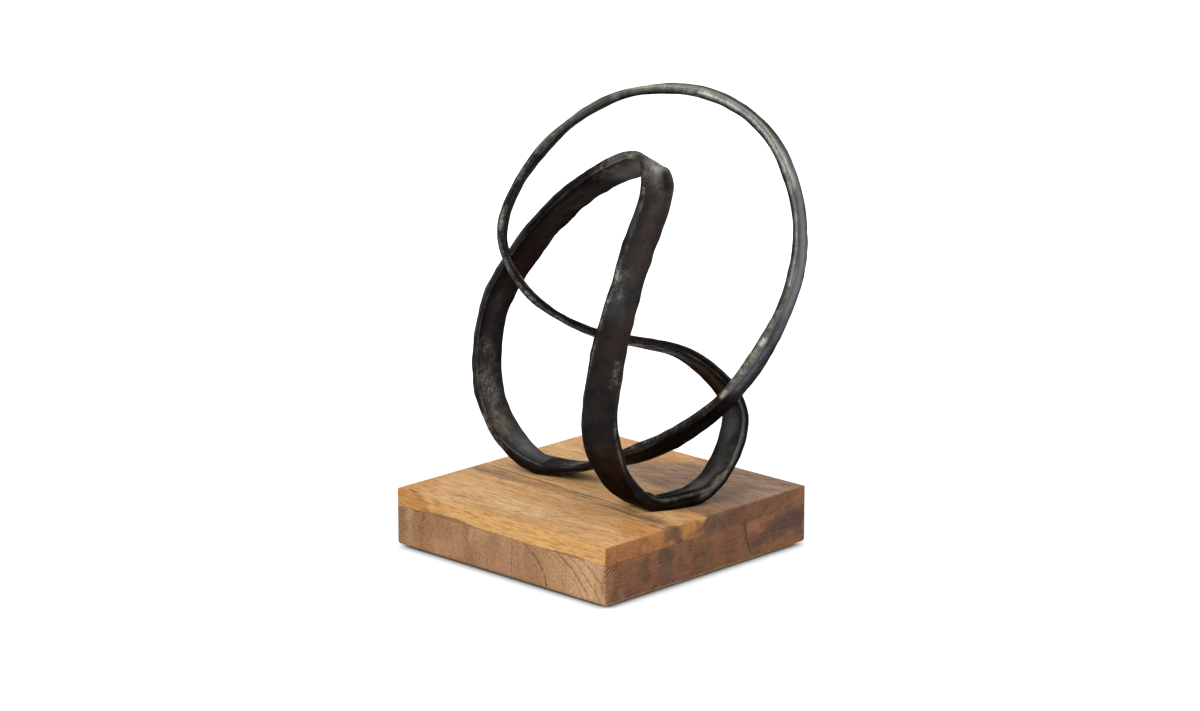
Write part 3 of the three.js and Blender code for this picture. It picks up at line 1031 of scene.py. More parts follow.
    def crack(self, tree: Tree, x: Socket, y: Socket, z: Socket) -> Socket:
        """Dark crack down the right face, bowed by the square of its share of the way down.

        Args:
            tree: The material's helper.
            x: Place through the face.
            y: Place along it.
            z: Height.

        Returns:
            The share of the crack, from 0 to 1.
        """
        down = tree.math("DIVIDE", tree.minus(self.crack_top, z), self.crack_drop)
        bow = tree.times(down, down, self.crack_bow)
        wander = tree.noise(tree.place(scale=(0.0, 0.0, 1.0)), 160.0, 2.0, 0.5)
        line = tree.plus(bow, self.crack_at, tree.times(wander, self.crack_wander))
        across = tree.around(y, line, 0.2 * MM, 1.3 * MM, 0.85)
        along = tree.around(z, self.crack_middle, 9 * MM, 12.5 * MM)
        return tree.times(across, along, self.right_face(tree, x))

    def shakes(self, tree: Tree, x: Socket, y: Socket, z: Socket) -> Socket:
        """Fine slanting dark lines at the front end of the right face.

        Args:
            tree: The material's helper.
            x: Place through the face.
            y: Place along it.
            z: Height.

        Returns:
            The share of the lines, from 0 to 1.
        """
        slant = tree.minus(z, tree.times(y, self.shake_slope))
        part = tree.math("FRACT", tree.math("DIVIDE", slant, self.shake_step))
        line = tree.around(part, 0.5, 0.05, 0.3, 0.6)
        face = tree.times(self.right_face(tree, x), tree.remap(z, 12 * MM, 22 * MM))
        near = tree.remap(y, -92 * MM, -80 * MM, 1.0, 0.0)
        return tree.times(line, near, face)

    def right_face(self, tree: Tree, x: Socket) -> Socket:
        """The wood just under the right face."""
        return tree.remap(x, 97 * MM, 98.5 * MM)


@dataclass(frozen=True)
class FeltFinish:
    """Matt dark felt with loose fibres."""

    dark: Colour = (0.022, 0.02, 0.018)
    light: Colour = (0.075, 0.07, 0.062)
    sheen: float = 0.3
    wool: Blotch = Blotch(420.0, 0.38, 0.66)

    def material(self, groups: Groups) -> bpy.types.Material:
        """Build the material from two sizes of fibre noise.

        Args:
            groups: The shared node groups.

        Returns:
            The material.
        """
        made, tree, shader = new_material("dark_felt")
        place = tree.place()
        wool = groups.blotched(tree, place, self.wool)
        tree.feed(shader.inputs["Base Color"], tree.mix(wool, self.dark, self.light))
        tree.feed(shader.inputs["Roughness"], tree.remap(wool, 0.0, 1.0, 0.9, 1.0))
        shader.inputs["Sheen Weight"].default_value = self.sheen
        add_relief(tree, shader, tree.noise(place, 1700.0, 3.0, 0.7), 0.6, 0.4 * MM)
        return made


@dataclass(frozen=True)
class ZincFinish:
    """Zinc plating with turning lines and dull spots."""

    bright: Colour = (0.66, 0.67, 0.68)
    dull: Colour = (0.46, 0.47, 0.47)
    metallic: float = 1.0
    spots: Blotch = Blotch(500.0, 0.42, 0.64)

    def material(self, groups: Groups) -> bpy.types.Material:
        """Build the material from blotches and from noise drawn out flat as turning lines.

        Args:
            groups: The shared node groups.

        Returns:
            The material.
        """
        made, tree, shader = new_material("zinc_plate")
        spots = groups.blotched(tree, tree.place(), self.spots)
        tree.feed(shader.inputs["Base Color"], tree.mix(spots, self.bright, self.dull))
        shader.inputs["Metallic"].default_value = self.metallic
        tree.feed(shader.inputs["Roughness"], tree.remap(spots, 0.0, 1.0, 0.28, 0.42))
        lines = tree.noise(tree.place(scale=(0.05, 0.05, 1.0)), 4000.0, 2.0, 0.6)
        add_relief(tree, shader, lines, 0.25, 0.1 * MM)
        return made


# Knot


class Bar(Enum):
    """Sections of the forged bar, as width and thickness in millimetres."""

    FOOT = (23.0, 8.5)
    LEG = (24.0, 6.0)
    SHOULDER = (26.0, 6.2)
    ARCH = (28.0, 6.5)
    SMALL_LOOP = (23.5, 6.2)
    STRAND = (22.5, 5.7)
    RING = (22.0, 5.6)
    CREST = (22.0, 6.2)


class Mark(Enum):
    """What a patch on the band's skin shows; one that is raised counts its strength in mm."""

    # Patches of wear, partly painted highlight
    RUBBED = "rubbed"
    RED = "red"
    # Painted bluish-grey sheen
    BLUE = "blue"
    # Pale grey-tan, partly patina and partly painted sheen
    PALE = "pale"
    # Painted highlight
    BRIGHT = "bright"
    # Painted shade: black, dull patina where the band lies in shade
    SOOT = "soot"
    RAISED = "raised"


# Once round the band's centre line, in millimetres and degrees: right, away, up from the base, how
# the width lies (turn about the upright and rise), and the bar's section. Up is None on the base.
ROUTE: tuple[tuple, ...] = (
    (-37, 38, None, 0, 0, Bar.FOOT),
    (-50.5, 44, 9, 21, 6, Bar.FOOT),
    (-66.5, 52, 27, 39, 9, Bar.LEG),
    (-77, 54, 53.5, 45, 3, Bar.LEG),
    (-78.5, 50, 84.5, 48, 0, Bar.LEG),
    (-71.5, 36, 125, 45, -6, Bar.SHOULDER),
    (-53.5, 18, 160.5, 40, -20, Bar.ARCH),
    (-29.5, 0, 195, 34, -25, Bar.ARCH),
    (-3, -22, 221.5, 29, -29, Bar.ARCH),
    (19, -42, 236.5, 35, -34, Bar.ARCH),
    (33, -56, 238, 50, -30, Bar.SHOULDER),
    (35, -62, 221, 52, -6, Bar.SHOULDER),
    (27, -64, 195.5, 56, 6, Bar.SHOULDER),
    (17, -64, 162.5, 63, 9, Bar.LEG),
    (7.5, -64, 129.5, 72, 9, Bar.LEG),
    (1, -64, 97.5, 86, 6, Bar.LEG),
    (-3, -62, 62.5, 103, 3, Bar.LEG),
    (6.5, -57, 27.5, 120, 6, Bar.LEG),
    (28, -50, None, 147, 2, Bar.FOOT),
    (54, -40, None, 158, 0, Bar.FOOT),
    (76, -26, 13.5, 156, -5, Bar.SMALL_LOOP),
    (91.5, -10, 47.5, 146, 0, Bar.SMALL_LOOP),
    (82.5, -2, 73.5, 157, 27, Bar.SMALL_LOOP),
    (58, -4, 95, 178, 29, Bar.STRAND),
    (27, -8, 105.5, 180, 21, Bar.STRAND),
    (-2, -12, 112.5, 180, 17, Bar.STRAND),
    (-31.5, -14, 126.5, 180, 17, Bar.STRAND),
    (-54.5, -15, 148, 181, 16, Bar.STRAND),
    (-67, -16, 179.5, 184, 15, Bar.RING),
    (-59, -16, 213, 186, 15, Bar.RING),
    (-35, -13, 246, 186, 16, Bar.RING),
    (-1, -10, 271.5, 185, 13, Bar.RING),
    (36, -12, 282, 189, 8, Bar.CREST),
    (74, -20, 279, 192, 7.5, Bar.CREST),
    (105.7, -30, 260.3, 197, 11, Bar.CREST),
    (123.8, -40, 231, 197.5, 14, Bar.RING),
    (131.6, -47, 195.5, 199.5, 17, Bar.RING),
    (128, -50, 156.5, 200.5, 18, Bar.STRAND),
    (111, -48, 115, 200, 22, Bar.LEG),
    (87, -38, 76.5, 198, 27, Bar.LEG),
    (58, -21, 46.5, 192, 32, Bar.LEG),
    (28, -2, 25, 184, 34, Bar.LEG),
    (-1, 14, 12, 180, 20, Bar.LEG),
    (-19, 26, 6, 180, 10, Bar.LEG),
)


@dataclass(frozen=True)
class Patch:
    """A streak of the skin: wear, a tint, a raised spot, or a painted highlight, sheen or shade.

    It runs from one place of the route to another, counted in stations. It lies across from -1 to
    1 on one face (1 or -1 through the bar, 0 for the narrow edge) and fades over its radius.
    """

    start: float
    end: float
    across: float
    face: float
    radius: float
    strength: float
    mark: Mark


RUBBED, RED, BLUE, PALE, BRIGHT, SOOT, RAISED = Mark
PATCHES: tuple[Patch, ...] = (
    # Left leg: grey-tan blotches on its inner face, partly wear and partly painted highlight, with
    # dark bluish-grey painted sheen above them
    Patch(3.2, 4.1, -0.6, 1, 9.0, 0.50, RUBBED),
    Patch(2.2, 4.2, -0.3, 1, 10.0, 0.12, PALE),
    Patch(2.4, 3.0, -0.1, 1, 8.0, 0.28, RUBBED),
    Patch(4.5, 5.1, -0.3, 1, 9.0, 0.30, BLUE),
    Patch(1.2, 1.9, -0.4, 1, 8.0, 0.16, RUBBED),
    Patch(0.2, 1.2, 0.3, 1, 8.0, 0.26, PALE),
    Patch(0.2, 1.3, 0.0, 1, 9.0, 0.40, BLUE),
    Patch(1.6, 2.6, -1.0, 0, 2.0, 0.85, RUBBED),
    # Arch: reddish brown inside, pale at its upper end as painted sheen where it lies in shade,
    # bluish-grey painted sheen and painted shade along an edge, its lower edge bumped
    Patch(5.5, 7.8, 0.0, 1, 12.0, 0.60, RED),
    Patch(8.3, 8.9, -0.6, 1, 7.0, 0.40, RUBBED),
    Patch(8.6, 9.6, 0.3, 1, 10.0, 0.85, BLUE),
    Patch(8.7, 9.4, 0.0, 1, 9.0, 0.50, PALE),
    Patch(8.8, 9.6, -1.0, 0, 4.0, 0.35, PALE),
    Patch(8.4, 9.5, -1.0, 0, 4.0, 0.45, RUBBED),
    Patch(4.4, 8.3, -1.0, -0.9, 1.6, 0.40, BLUE),
    Patch(4.4, 8.3, -1.0, 0.9, 2.0, 0.85, SOOT),
    Patch(7.4, 7.8, 1.0, 0, 6.0, 1.30, RAISED),
    Patch(6.8, 7.0, 1.0, 0, 6.0, 1.20, RAISED),
    Patch(6.5, 6.6, 1.0, 0, 4.0, -0.60, RAISED),
    Patch(5.1, 5.3, 1.0, 0, 7.0, 1.10, RAISED),
    # Fold: pale grey-tan over the shoulder, partly painted sheen, with a painted highlight and some
    # wear, and a smudge of painted shade under it
    Patch(9.6, 10.0, 0.0, -1, 12.0, 1.00, PALE),
    Patch(10.0, 10.4, 0.95, -1, 5.5, 0.95, PALE),
    Patch(9.6, 10.1, 0.2, -1, 8.0, 0.40, BRIGHT),
    Patch(9.9, 10.3, -0.2, -1, 8.0, 0.30, RUBBED),
    Patch(10.4, 11.2, 1.0, -1, 3.0, 0.50, PALE),
    Patch(10.45, 10.7, 0.45, -1, 5.0, 1.00, SOOT),
    Patch(9.9, 10.1, 0.1, -1, 8.0, 1.40, RAISED),
    Patch(10.2, 10.3, 1.0, -1, 5.0, -0.80, RAISED),
    # Front leg: reddish brown above, grey pits along its left edge with bluish-grey painted sheen,
    # brown below
    Patch(10.8, 12.6, 0.1, -1, 11.0, 0.55, RED),
    Patch(10.8, 13.6, 0.0, -1, 10.0, 0.07, PALE),
    Patch(13.6, 16.4, 0.0, -1, 11.0, 0.02, PALE),
    Patch(10.3, 11.0, -1.0, -1, 3.0, 0.40, RUBBED),
    Patch(11.4, 12.0, -1.0, 0, 4.0, 0.35, BLUE),
    Patch(12.6, 14.0, -1.0, -1, 2.8, 0.70, RUBBED),
    Patch(12.9, 13.3, -0.6, -1, 4.5, 0.45, RUBBED),
    Patch(13.3, 13.7, -0.7, -1, 4.0, 0.12, BLUE),
    Patch(14.7, 15.2, 0.7, -1, 2.6, 0.30, RUBBED),
    Patch(13.9, 14.6, 0.0, -1, 9.0, 0.30, RED),
    Patch(16.6, 17.6, 0.2, -1, 9.0, 0.45, RED),
    Patch(11.4, 12.0, 0.9, 0, 7.0, 0.90, RAISED),
    Patch(14.0, 14.0, -1.0, 0, 4.0, -1.00, RAISED),
    Patch(14.4, 14.6, -1.0, 0, 5.0, 0.80, RAISED),
    Patch(15.4, 16.0, -1.0, 0, 6.0, -0.80, RAISED),
    # Front foot: upset thick at its near edge, thinner behind
    Patch(17.4, 17.8, 0.85, 1, 6.0, 1.20, RAISED),
    Patch(18.0, 20.0, 0.85, 1, 6.0, 4.20, RAISED),
    Patch(17.9, 19.1, -0.60, 1, 8.0, -3.00, RAISED),
    # Small loop: bluish-grey painted sheen inside with a pale ridge of painted highlight, and
    # painted shade beside the ridge
    Patch(19.4, 21.1, 0.0, 1, 7.5, 0.40, BLUE),
    Patch(19.3, 21.6, 1.0, 1, 1.1, 0.70, PALE),
    Patch(19.6, 21.9, 1.0, -0.5, 2.6, 0.90, SOOT),
    Patch(19.4, 20.8, 0.3, 1, 9.0, 0.33, PALE),
    Patch(19.0, 19.6, -0.3, 1, 7.0, 0.35, PALE),
    Patch(22.0, 22.6, 0.1, 1, 8.0, 1.00, RED),
    Patch(22.1, 22.6, 0.1, 1, 7.0, 0.26, PALE),
    # Ring: gold flecks on its left, partly painted highlight, pewter over the top, partly painted
    # sheen, a painted highlight along the inner arris, painted shade on its inner face and
    # bluish-grey painted sheen on its side
    Patch(28.2, 28.7, 1.0, 0, 2.6, 0.50, RUBBED),
    Patch(28.3, 28.6, 1.0, 0, 1.0, 0.20, BRIGHT),
    Patch(29.3, 29.6, 1.0, 0, 2.8, 0.28, RUBBED),
    Patch(25.2, 27.9, 1.0, 1, 1.2, 0.32, RUBBED),
    Patch(26.5, 30.5, 1.0, 1, 1.2, 0.32, RUBBED),
    Patch(31.3, 33.4, 1.0, 0.6, 2.6, 0.50, PALE),
    Patch(29.8, 31.2, 1.0, 0.5, 2.4, 0.30, PALE),
    Patch(31.8, 33.2, 1.0, 1, 3.0, 0.35, RUBBED),
    Patch(28.3, 32.2, 0.3, -1, 12.0, 1.00, SOOT),
    Patch(32.8, 35.0, 1.0, 0, 0.9, 1.10, BRIGHT),
    Patch(35.0, 37.0, 1.0, 0, 0.9, 0.60, BRIGHT),
    Patch(31.6, 35.2, 0.8, 1, 5.0, 0.62, BRIGHT),
    Patch(31.4, 37.4, 1.0, -1, 2.3, 0.60, SOOT),
    Patch(35.2, 37.4, 0.3, 1, 8.0, 0.16, BRIGHT),
    Patch(33.1, 36.9, 1.0, -0.33, 1.6, 0.45, RUBBED),
    Patch(32.6, 35.0, 1.0, 0.6, 3.0, 0.40, RUBBED),
    Patch(34.6, 37.8, 0.0, 1, 9.0, 0.75, BLUE),
    Patch(36.8, 38.6, 1.0, 0, 2.4, 0.40, RUBBED),
    Patch(36.8, 38.8, 1.0, 0, 4.0, 0.38, PALE),
    Patch(37.9, 38.0, 1.0, 0, 2.2, 0.90, RUBBED),
    Patch(37.9, 38.0, 1.0, 0, 1.4, 0.90, BRIGHT),
    Patch(38.1, 38.8, 1.0, -1, 2.4, 0.75, RUBBED),
    Patch(38.1, 38.8, 0.5, 1, 6.0, 0.80, BLUE),
    Patch(38.9, 39.0, 1.0, 0, 2.2, 0.80, RUBBED),
    Patch(38.9, 39.0, 1.0, 0, 1.5, 0.50, BRIGHT),
    Patch(39.2, 41.5, 1.0, -1, 1.8, 0.45, RUBBED),
    Patch(37.6, 38.1, 1.0, 0, 6.0, -0.90, RAISED),
)


@dataclass
class ForgedKnot:
    """The band: a bar of slowly changing section, swept once round its route with a half twist."""

    base_top: float = BASE_TOP
    turn: float = 45.0
    seat_gap: float = 0.3 * MM
    foot_grind: float = 0.7 * MM
    corner_radius: float = 1.5 * MM
    edge_crown: float = 0.35 * MM
    rings: int = 1840
    corner_steps: int = 4
    face_steps: int = 12
    edge_steps: int = 3
    path_steps: int = 8001
    pole_passes: int = 40
    swell: float = 0.30 * MM
    swells: Ripple = Ripple(3, 0.035, 0.085)
    ripple: float = 0.10 * MM
    ripples: Ripple = Ripple(5, 0.008, 0.02)
    edge_waver: float = 0.42 * MM
    edge_waves: Ripple = Ripple(11, 0.014, 0.045)
    strikes: int = 520
    strike_seed: int = 17
    strike_radius: Range = (3.5, 9.0)
    strike_share: Range = (0.3, 1.0)
    strike_depth: float = 0.38 * MM
    forging: float = 0.8
    patch_wrap: float = 0.25
    arris_width: float = 0.55
    arris_loss: float = 0.6

    def stations(self) -> np.ndarray:
        """Stations of the route, in metres.

        The width direction is (sin turn cos rise, cos turn cos rise, sin rise).

        Returns:
            Rows of centre (3), width direction (3), width and thickness.
        """
        on_base = (self.seat_gap - self.foot_grind) / MM
        rows = [
            (x, y, on_base + bar.value[1] / 2 if up is None else up, turn, rise, *bar.value)
            for x, y, up, turn, rise, bar in ROUTE
        ]
        table = np.array(rows, float)
        turn, rise = np.radians(table[:, 3]), np.radians(table[:, 4])
        across = np.stack(
            [np.sin(turn) * np.cos(rise), np.cos(turn) * np.cos(rise), np.sin(rise)], axis=1
        )
        return np.hstack([table[:, :3] * MM, across, table[:, 5:] * MM])

    @staticmethod
    def gather(rows: np.ndarray, index: np.ndarray) -> np.ndarray:
        """Rows at any whole places round the loop; each full lap turns the width about.

        Args:
            rows: Rows of eight numbers.
            index: Places, below zero or past the last row too.

        Returns:
            One row for each place.
        """
        count = len(rows)
        found = rows[index % count].copy()
        odd = (index // count) % 2 == 1
        found[odd, 3:6] *= -1.0
        return found

    def curve(self, poles: np.ndarray, at: np.ndarray) -> np.ndarray:
        """Cubic B-spline of the poles at places counted in spans.

        Args:
            poles: Rows of eight numbers.
            at: Places, from 0 up to the number of poles.

        Returns:
            One row of eight numbers for each place.
        """
        span = np.floor(at).astype(int)
        f = (at - span)[:, None]
        weights = (
            (1 - f) ** 3 / 6,
            (3 * f**3 - 6 * f**2 + 4) / 6,
            (-3 * f**3 + 3 * f**2 + 3 * f + 1) / 6,
            f**3 / 6,
        )
        return sum(w * self.gather(poles, span - 1 + k) for k, w in enumerate(weights))

    def poles(self) -> np.ndarray:
        """Poles of the closed curve through the stations, drawn out a little on each pass.

        Returns:
            Rows of eight numbers.
        """
        stations = self.stations()
        places = np.arange(len(stations), dtype=float)
        poles = stations.copy()
        for _ in range(self.pole_passes):
            poles = poles + stations - self.curve(poles, places)
        return poles

    def outline(self) -> tuple[np.ndarray, np.ndarray, np.ndarray]:
        """Round-cornered outline of a section as factors.

        A point lies at (fx (w - r) + r cos a, fy (t - r) + r sin a), for half width w, half
        thickness t and corner radius r. The second half is the first one turned half a turn.

        Returns:
            The factors fx and fy, and the angle a, for each point.
        """
        quarter = math.pi / 2
        edge = np.linspace(-1, 1, self.edge_steps, endpoint=False)
        arc = np.linspace(0, quarter, self.corner_steps, endpoint=False)
        face = np.linspace(1, -1, self.face_steps, endpoint=False)
        one = np.ones
        fx = np.concatenate([one(len(edge)), one(len(arc)), face, -one(len(arc))])
        fy = np.concatenate([edge, one(len(arc)), one(len(face)), one(len(arc))])
        angle = np.concatenate([0 * edge, arc, 0 * face + quarter, arc + quarter])
        return (
            np.concatenate([fx, -fx]),
            np.concatenate([fy, -fy]),
            np.concatenate([angle, angle + math.pi]),
        )

    def sweep(self) -> dict[str, np.ndarray]:
        """Smooth surface before forging, evenly spaced along the centre line.

        Returns:
            Arrays by name: points and normals (ring, point, 3), the route's place of each ring,
            and the section's own places, half sizes and angles.
        """
        poles = self.poles()
        fine = np.linspace(0, len(poles), self.path_steps)
        path = self.curve(poles, fine)[:, :3]
        length = np.concatenate([[0], np.cumsum(np.linalg.norm(np.diff(path, axis=0), axis=1))])
        even = np.linspace(0, length[-1], self.rings, endpoint=False)
        place = np.interp(even, length, fine)
        rows = self.curve(poles, place)
        centre = rows[:, :3]
        along = np.roll(centre, -1, axis=0) - np.roll(centre, 1, axis=0)
        along /= np.linalg.norm(along, axis=1, keepdims=True)
        across = rows[:, 3:6] - along * np.sum(rows[:, 3:6] * along, axis=1, keepdims=True)
        across /= np.linalg.norm(across, axis=1, keepdims=True)
        through = np.cross(across, along)
        fx, fy, angle = self.outline()
        half_w = rows[:, 6:7] / 2
        half_t = rows[:, 7:8] / 2
        radius = self.corner_radius
        crown = self.edge_crown * (1 - fy**2) * np.cos(angle)
        x = fx * (half_w - radius) + radius * np.cos(angle) + crown
        y = fy * (half_t - radius) + radius * np.sin(angle)
        points = (
            centre[:, None] + x[:, :, None] * across[:, None] + y[:, :, None] * through[:, None]
        )
        normals = (
            np.cos(angle)[None, :, None] * across[:, None]
            + np.sin(angle)[None, :, None] * through[:, None]
        )
        log.info("band: centre line %.3f m", length[-1])
        return {"points": points, "normals": normals, "place": place, "x": x, "y": y,
                "half_w": half_w, "half_t": half_t, "angle": angle}

    def forge(self, shape: dict[str, np.ndarray], marks: dict[Mark, np.ndarray]
              ) -> tuple[np.ndarray, np.ndarray]:
        """Give the smooth surface its hammered skin and wavering edges.

        Each point moves along its normal by slow swells, finer ripples, a waver that acts on the
        narrow edges, and the dents of seeded hammer strikes, each a bell curve of its distance.

        Args:
            shape: What `sweep` returns.
            marks: What `marks` returns.

        Returns:
            The moved points, as rows, and how deep each lies in its dents, from 0 to 1.
        """
        points = shape["points"].reshape(-1, 3)
        normals = shape["normals"].reshape(-1, 3)
        on_edge = np.tile(np.abs(np.cos(shape["angle"])), len(shape["points"]))
        move = self.swell * self.swells.at(points)
        move += self.ripple * self.ripples.at(points)
        move += self.edge_waver * on_edge * self.edge_waves.at(points)
        draw = np.random.default_rng(self.strike_seed)
        chosen = draw.integers(0, len(points), self.strikes)
        radius = draw.uniform(*self.strike_radius, self.strikes) * MM
        depth = draw.uniform(*self.strike_share, self.strikes) * self.strike_depth
        dent = np.zeros(len(points))
        for at, wide, deep in zip(chosen, radius, depth):
            near = np.sum((points - points[at]) ** 2, axis=1) / wide**2
            facing = np.clip(normals @ normals[at], 0, 1)
            dent = np.maximum(dent, deep * np.exp(-near) * facing)
        move += MM * marks[Mark.RAISED] - dent
        return points + move[:, None] * normals * self.forging, dent / self.strike_depth

    def spread(self, shape: dict[str, np.ndarray], patch: Patch) -> np.ndarray:
        """How far each point lies in a patch.

        A patch is a line along the skin. A point's share is a bell curve of its distance to the
        line's point on the same ring, or to the line's end, weakened where the skin faces away.

        Args:
            shape: What `sweep` returns.
            patch: The patch.

        Returns:
            One number for each point, from 0 to 1.
        """
        points, normals = shape["points"], shape["normals"]
        first, last = np.searchsorted(shape["place"], (patch.start, patch.end))
        ring = np.clip(np.arange(len(points)), first, max(last - 1, first))
        fx, fy, _ = self.outline()
        at = np.argmin((patch.across - fx) ** 2 + (patch.face - fy) ** 2)
        gap = points - points[ring, at][:, None]
        near = np.sum(gap**2, axis=2) / (patch.radius * MM) ** 2
        facing = np.sum(normals * normals[ring, at][:, None], axis=2)
        return (np.exp(-near) * np.clip(facing + self.patch_wrap, 0, 1)).ravel()

    def marks(self, shape: dict[str, np.ndarray]) -> dict[Mark, np.ndarray]:
        """Sum of all patches of each kind.

        Args:
            shape: What `sweep` returns.

        Returns:
            One number for each point, by kind.
        """
        found = {mark: np.zeros(shape["points"].shape[:2]).ravel() for mark in Mark}
        for patch in PATCHES:
            found[patch.mark] += patch.strength * self.spread(shape, patch)
        return found

    def stand(self, points: np.ndarray) -> np.ndarray:
        """Turn the knot on its base, grind its feet flat and keep it inside its solid's box.

        Args:
            points: Rows of right, away and up from the base.

        Returns:
            Rows of x, y and z.
        """
        angle = math.radians(self.turn)
        spin = np.array([
            [math.cos(angle), -math.sin(angle), 0.0],
            [math.sin(angle), math.cos(angle), 0.0],
            [0.0, 0.0, 1.0],
        ])
        points = points @ spin.T + np.array([0.0, 0.0, self.base_top])
        points[:, 2] = np.maximum(points[:, 2], self.base_top + self.seat_gap)
        low, high = (np.array(corner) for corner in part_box("knot_band"))
        return np.clip(points, low, high)

    def arrises(self, shape: dict[str, np.ndarray]) -> np.ndarray:
        """Bell curve of each point's distance to the nearest sharp corner of its section."""
        beside, past = np.abs(shape["x"]) - shape["half_w"], np.abs(shape["y"]) - shape["half_t"]
        return np.exp(-(np.hypot(beside, past) / (self.arris_width * self.corner_radius)) ** 2)

    def build(self, finish: ForgedPatina, groups: Groups) -> bpy.types.Object:
        """Make the band, dress it and put it in the place of its solid.

        Args:
            finish: The patina.
            groups: The shared node groups.

        Returns:
            The band.
        """
        shape = self.sweep()
        marks = self.marks(shape)
        points, dent = self.forge(shape, marks)
        around = len(shape["angle"])
        faces = grid_quads(self.rings, around, around // 2)
        band = new_piece("knot_band_forged", self.stand(points), faces.tolist())
        arris = self.arrises(shape).ravel()
        lost = self.arris_loss * smoothstep(dent, 0.3, 0.9)
        set_attribute(band, "arris", arris * (1.0 - lost))
        # Attributes of wear and tint, and of painted highlight, painted sheen and painted shade
        for mark in (RUBBED, RED, BLUE, PALE, BRIGHT, SOOT):
            set_attribute(band, mark.value, np.clip(marks[mark], 0.0, 1.0))
        dress(band, finish.material(groups))
        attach(band, "root")
        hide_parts("knot_band")
        report(band)
        return band


# Base


@dataclass
class Board:
    """One square board with round corners and eased edges, figured right through."""

    name: str
    node: str
    slot: Slot
    bottom: float
    top: float
    eased_bottom: bool
    eased_top: bool
    side: float = BASE_SIDE
    corner_radius: float = 1.6 * MM
    top_radius: float = 0.8 * MM
    bottom_radius: float = 2.8 * MM
    sharp_edge: float = 0.15 * MM
    corner_steps: int = 8
    edge_steps: int = 5
    flats: int = 48
    wall_rings: int = 14

    def square(self) -> tuple[np.ndarray, np.ndarray]:
        """Outline of a unit square as corner factors and corner angles.

        A point lies at (cx h + r cos a, cy h + r sin a), for the corner's reach h and radius r.

        Returns:
            Rows of cx and cy, from -1 to 1, and the angle a of each point.
        """
        factors, angles = [], []
        quarter = math.pi / 2
        signs = ((1, 1), (-1, 1), (-1, -1), (1, -1))
        for index, (sx, sy) in enumerate(signs):
            arc = (index + np.linspace(0, 1, self.corner_steps + 1)) * quarter
            factors.append(np.tile([sx, sy], (len(arc), 1)).astype(float))
            angles.append(arc)
            next_sign = np.array(signs[(index + 1) % 4], float)
            part = np.linspace(0, 1, self.flats + 1)[1:-1, None]
            factors.append(np.array([sx, sy]) * (1 - part) + next_sign * part)
            angles.append(np.full(self.flats - 1, (index + 1) * quarter))
        return np.concatenate(factors), np.concatenate(angles)

    def profile(self) -> np.ndarray:
        """Section from the middle of the underside to the middle of the top.

        Returns:
            Rows of inset and level.
        """
        inner = np.array([self.side / 2, self.side / 3, self.side / 6, 8 * MM, 3 * MM])
        quarter = np.linspace(0, math.pi / 2, self.edge_steps + 1)
        parts = []
        for level, inward, radius, eased in (
            (self.bottom, 1.0, self.bottom_radius, self.eased_bottom),
            (self.top, -1.0, self.top_radius, self.eased_top),
        ):
            flat = np.stack([inner, np.full(len(inner), level)], axis=1)
            if eased:
                inset, rise = radius * (1 - np.sin(quarter)), radius * (1 - np.cos(quarter))
            else:
                inset, rise = np.array([[self.sharp_edge, 0.0], [0.0, self.sharp_edge]])
            part = np.concatenate([flat, np.stack([inset, level + inward * rise], axis=1)])
            parts.append(part if inward > 0 else part[::-1])
        low, high = parts[0][-1, 1], parts[1][0, 1]
        wall = np.linspace(low, high, self.wall_rings + 1)[1:-1]
        walls = np.stack([np.zeros(len(wall)), wall], axis=1)
        return np.concatenate([parts[0], walls, parts[1]])

    def surface(self) -> tuple[np.ndarray, list]:
        """Closed surface: the outline carried along the profile, drawn in by its inset.

        Returns:
            The points and the faces.
        """
        factors, angles = self.square()
        profile = self.profile()
        inset = profile[1:-1, 0]
        radius = np.maximum(self.corner_radius - inset, self.corner_radius / 4)
        reach = np.maximum(self.side / 2 - inset - radius, 0.0)
        ring_x = reach[:, None] * factors[:, 0] + radius[:, None] * np.cos(angles)
        ring_y = reach[:, None] * factors[:, 1] + radius[:, None] * np.sin(angles)
        ring_z = np.repeat(profile[1:-1, 1:2], len(angles), axis=1)
        rings = np.stack([ring_x, ring_y, ring_z], axis=-1)
        count, around = rings.shape[:2]
        points = np.concatenate([rings.reshape(-1, 3), [[0, 0, self.bottom]], [[0, 0, self.top]]])
        ring, point = np.meshgrid(np.arange(count - 1), np.arange(around), indexing="ij")
        a = ring * around + point
        b = ring * around + (point + 1) % around
        quads = np.stack([a, b, b + around, a + around], axis=-1).reshape(-1, 4)
        first = np.arange(around)
        after = (first + 1) % around
        last = (count - 1) * around
        low = np.stack([after, first, np.full(around, count * around)], axis=-1)
        high = np.stack([last + first, last + after, np.full(around, count * around + 1)], axis=-1)
        return points, quads.tolist() + low.tolist() + high.tolist()

    def build(self, finish: Union[GoldenBoard, BrownBoard], groups: Groups) -> bpy.types.Object:
        """Make the board, dress it and put it in the place of its solid.

        Args:
            finish: The timber's colours and figure.
            groups: The shared node groups.

        Returns:
            The board.
        """
        points, faces = self.surface()
        board = new_piece(self.name, points, faces)
        dress(board, finish.material(groups))
        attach(board, "root")
        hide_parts(self.node)
        report(board)
        return board


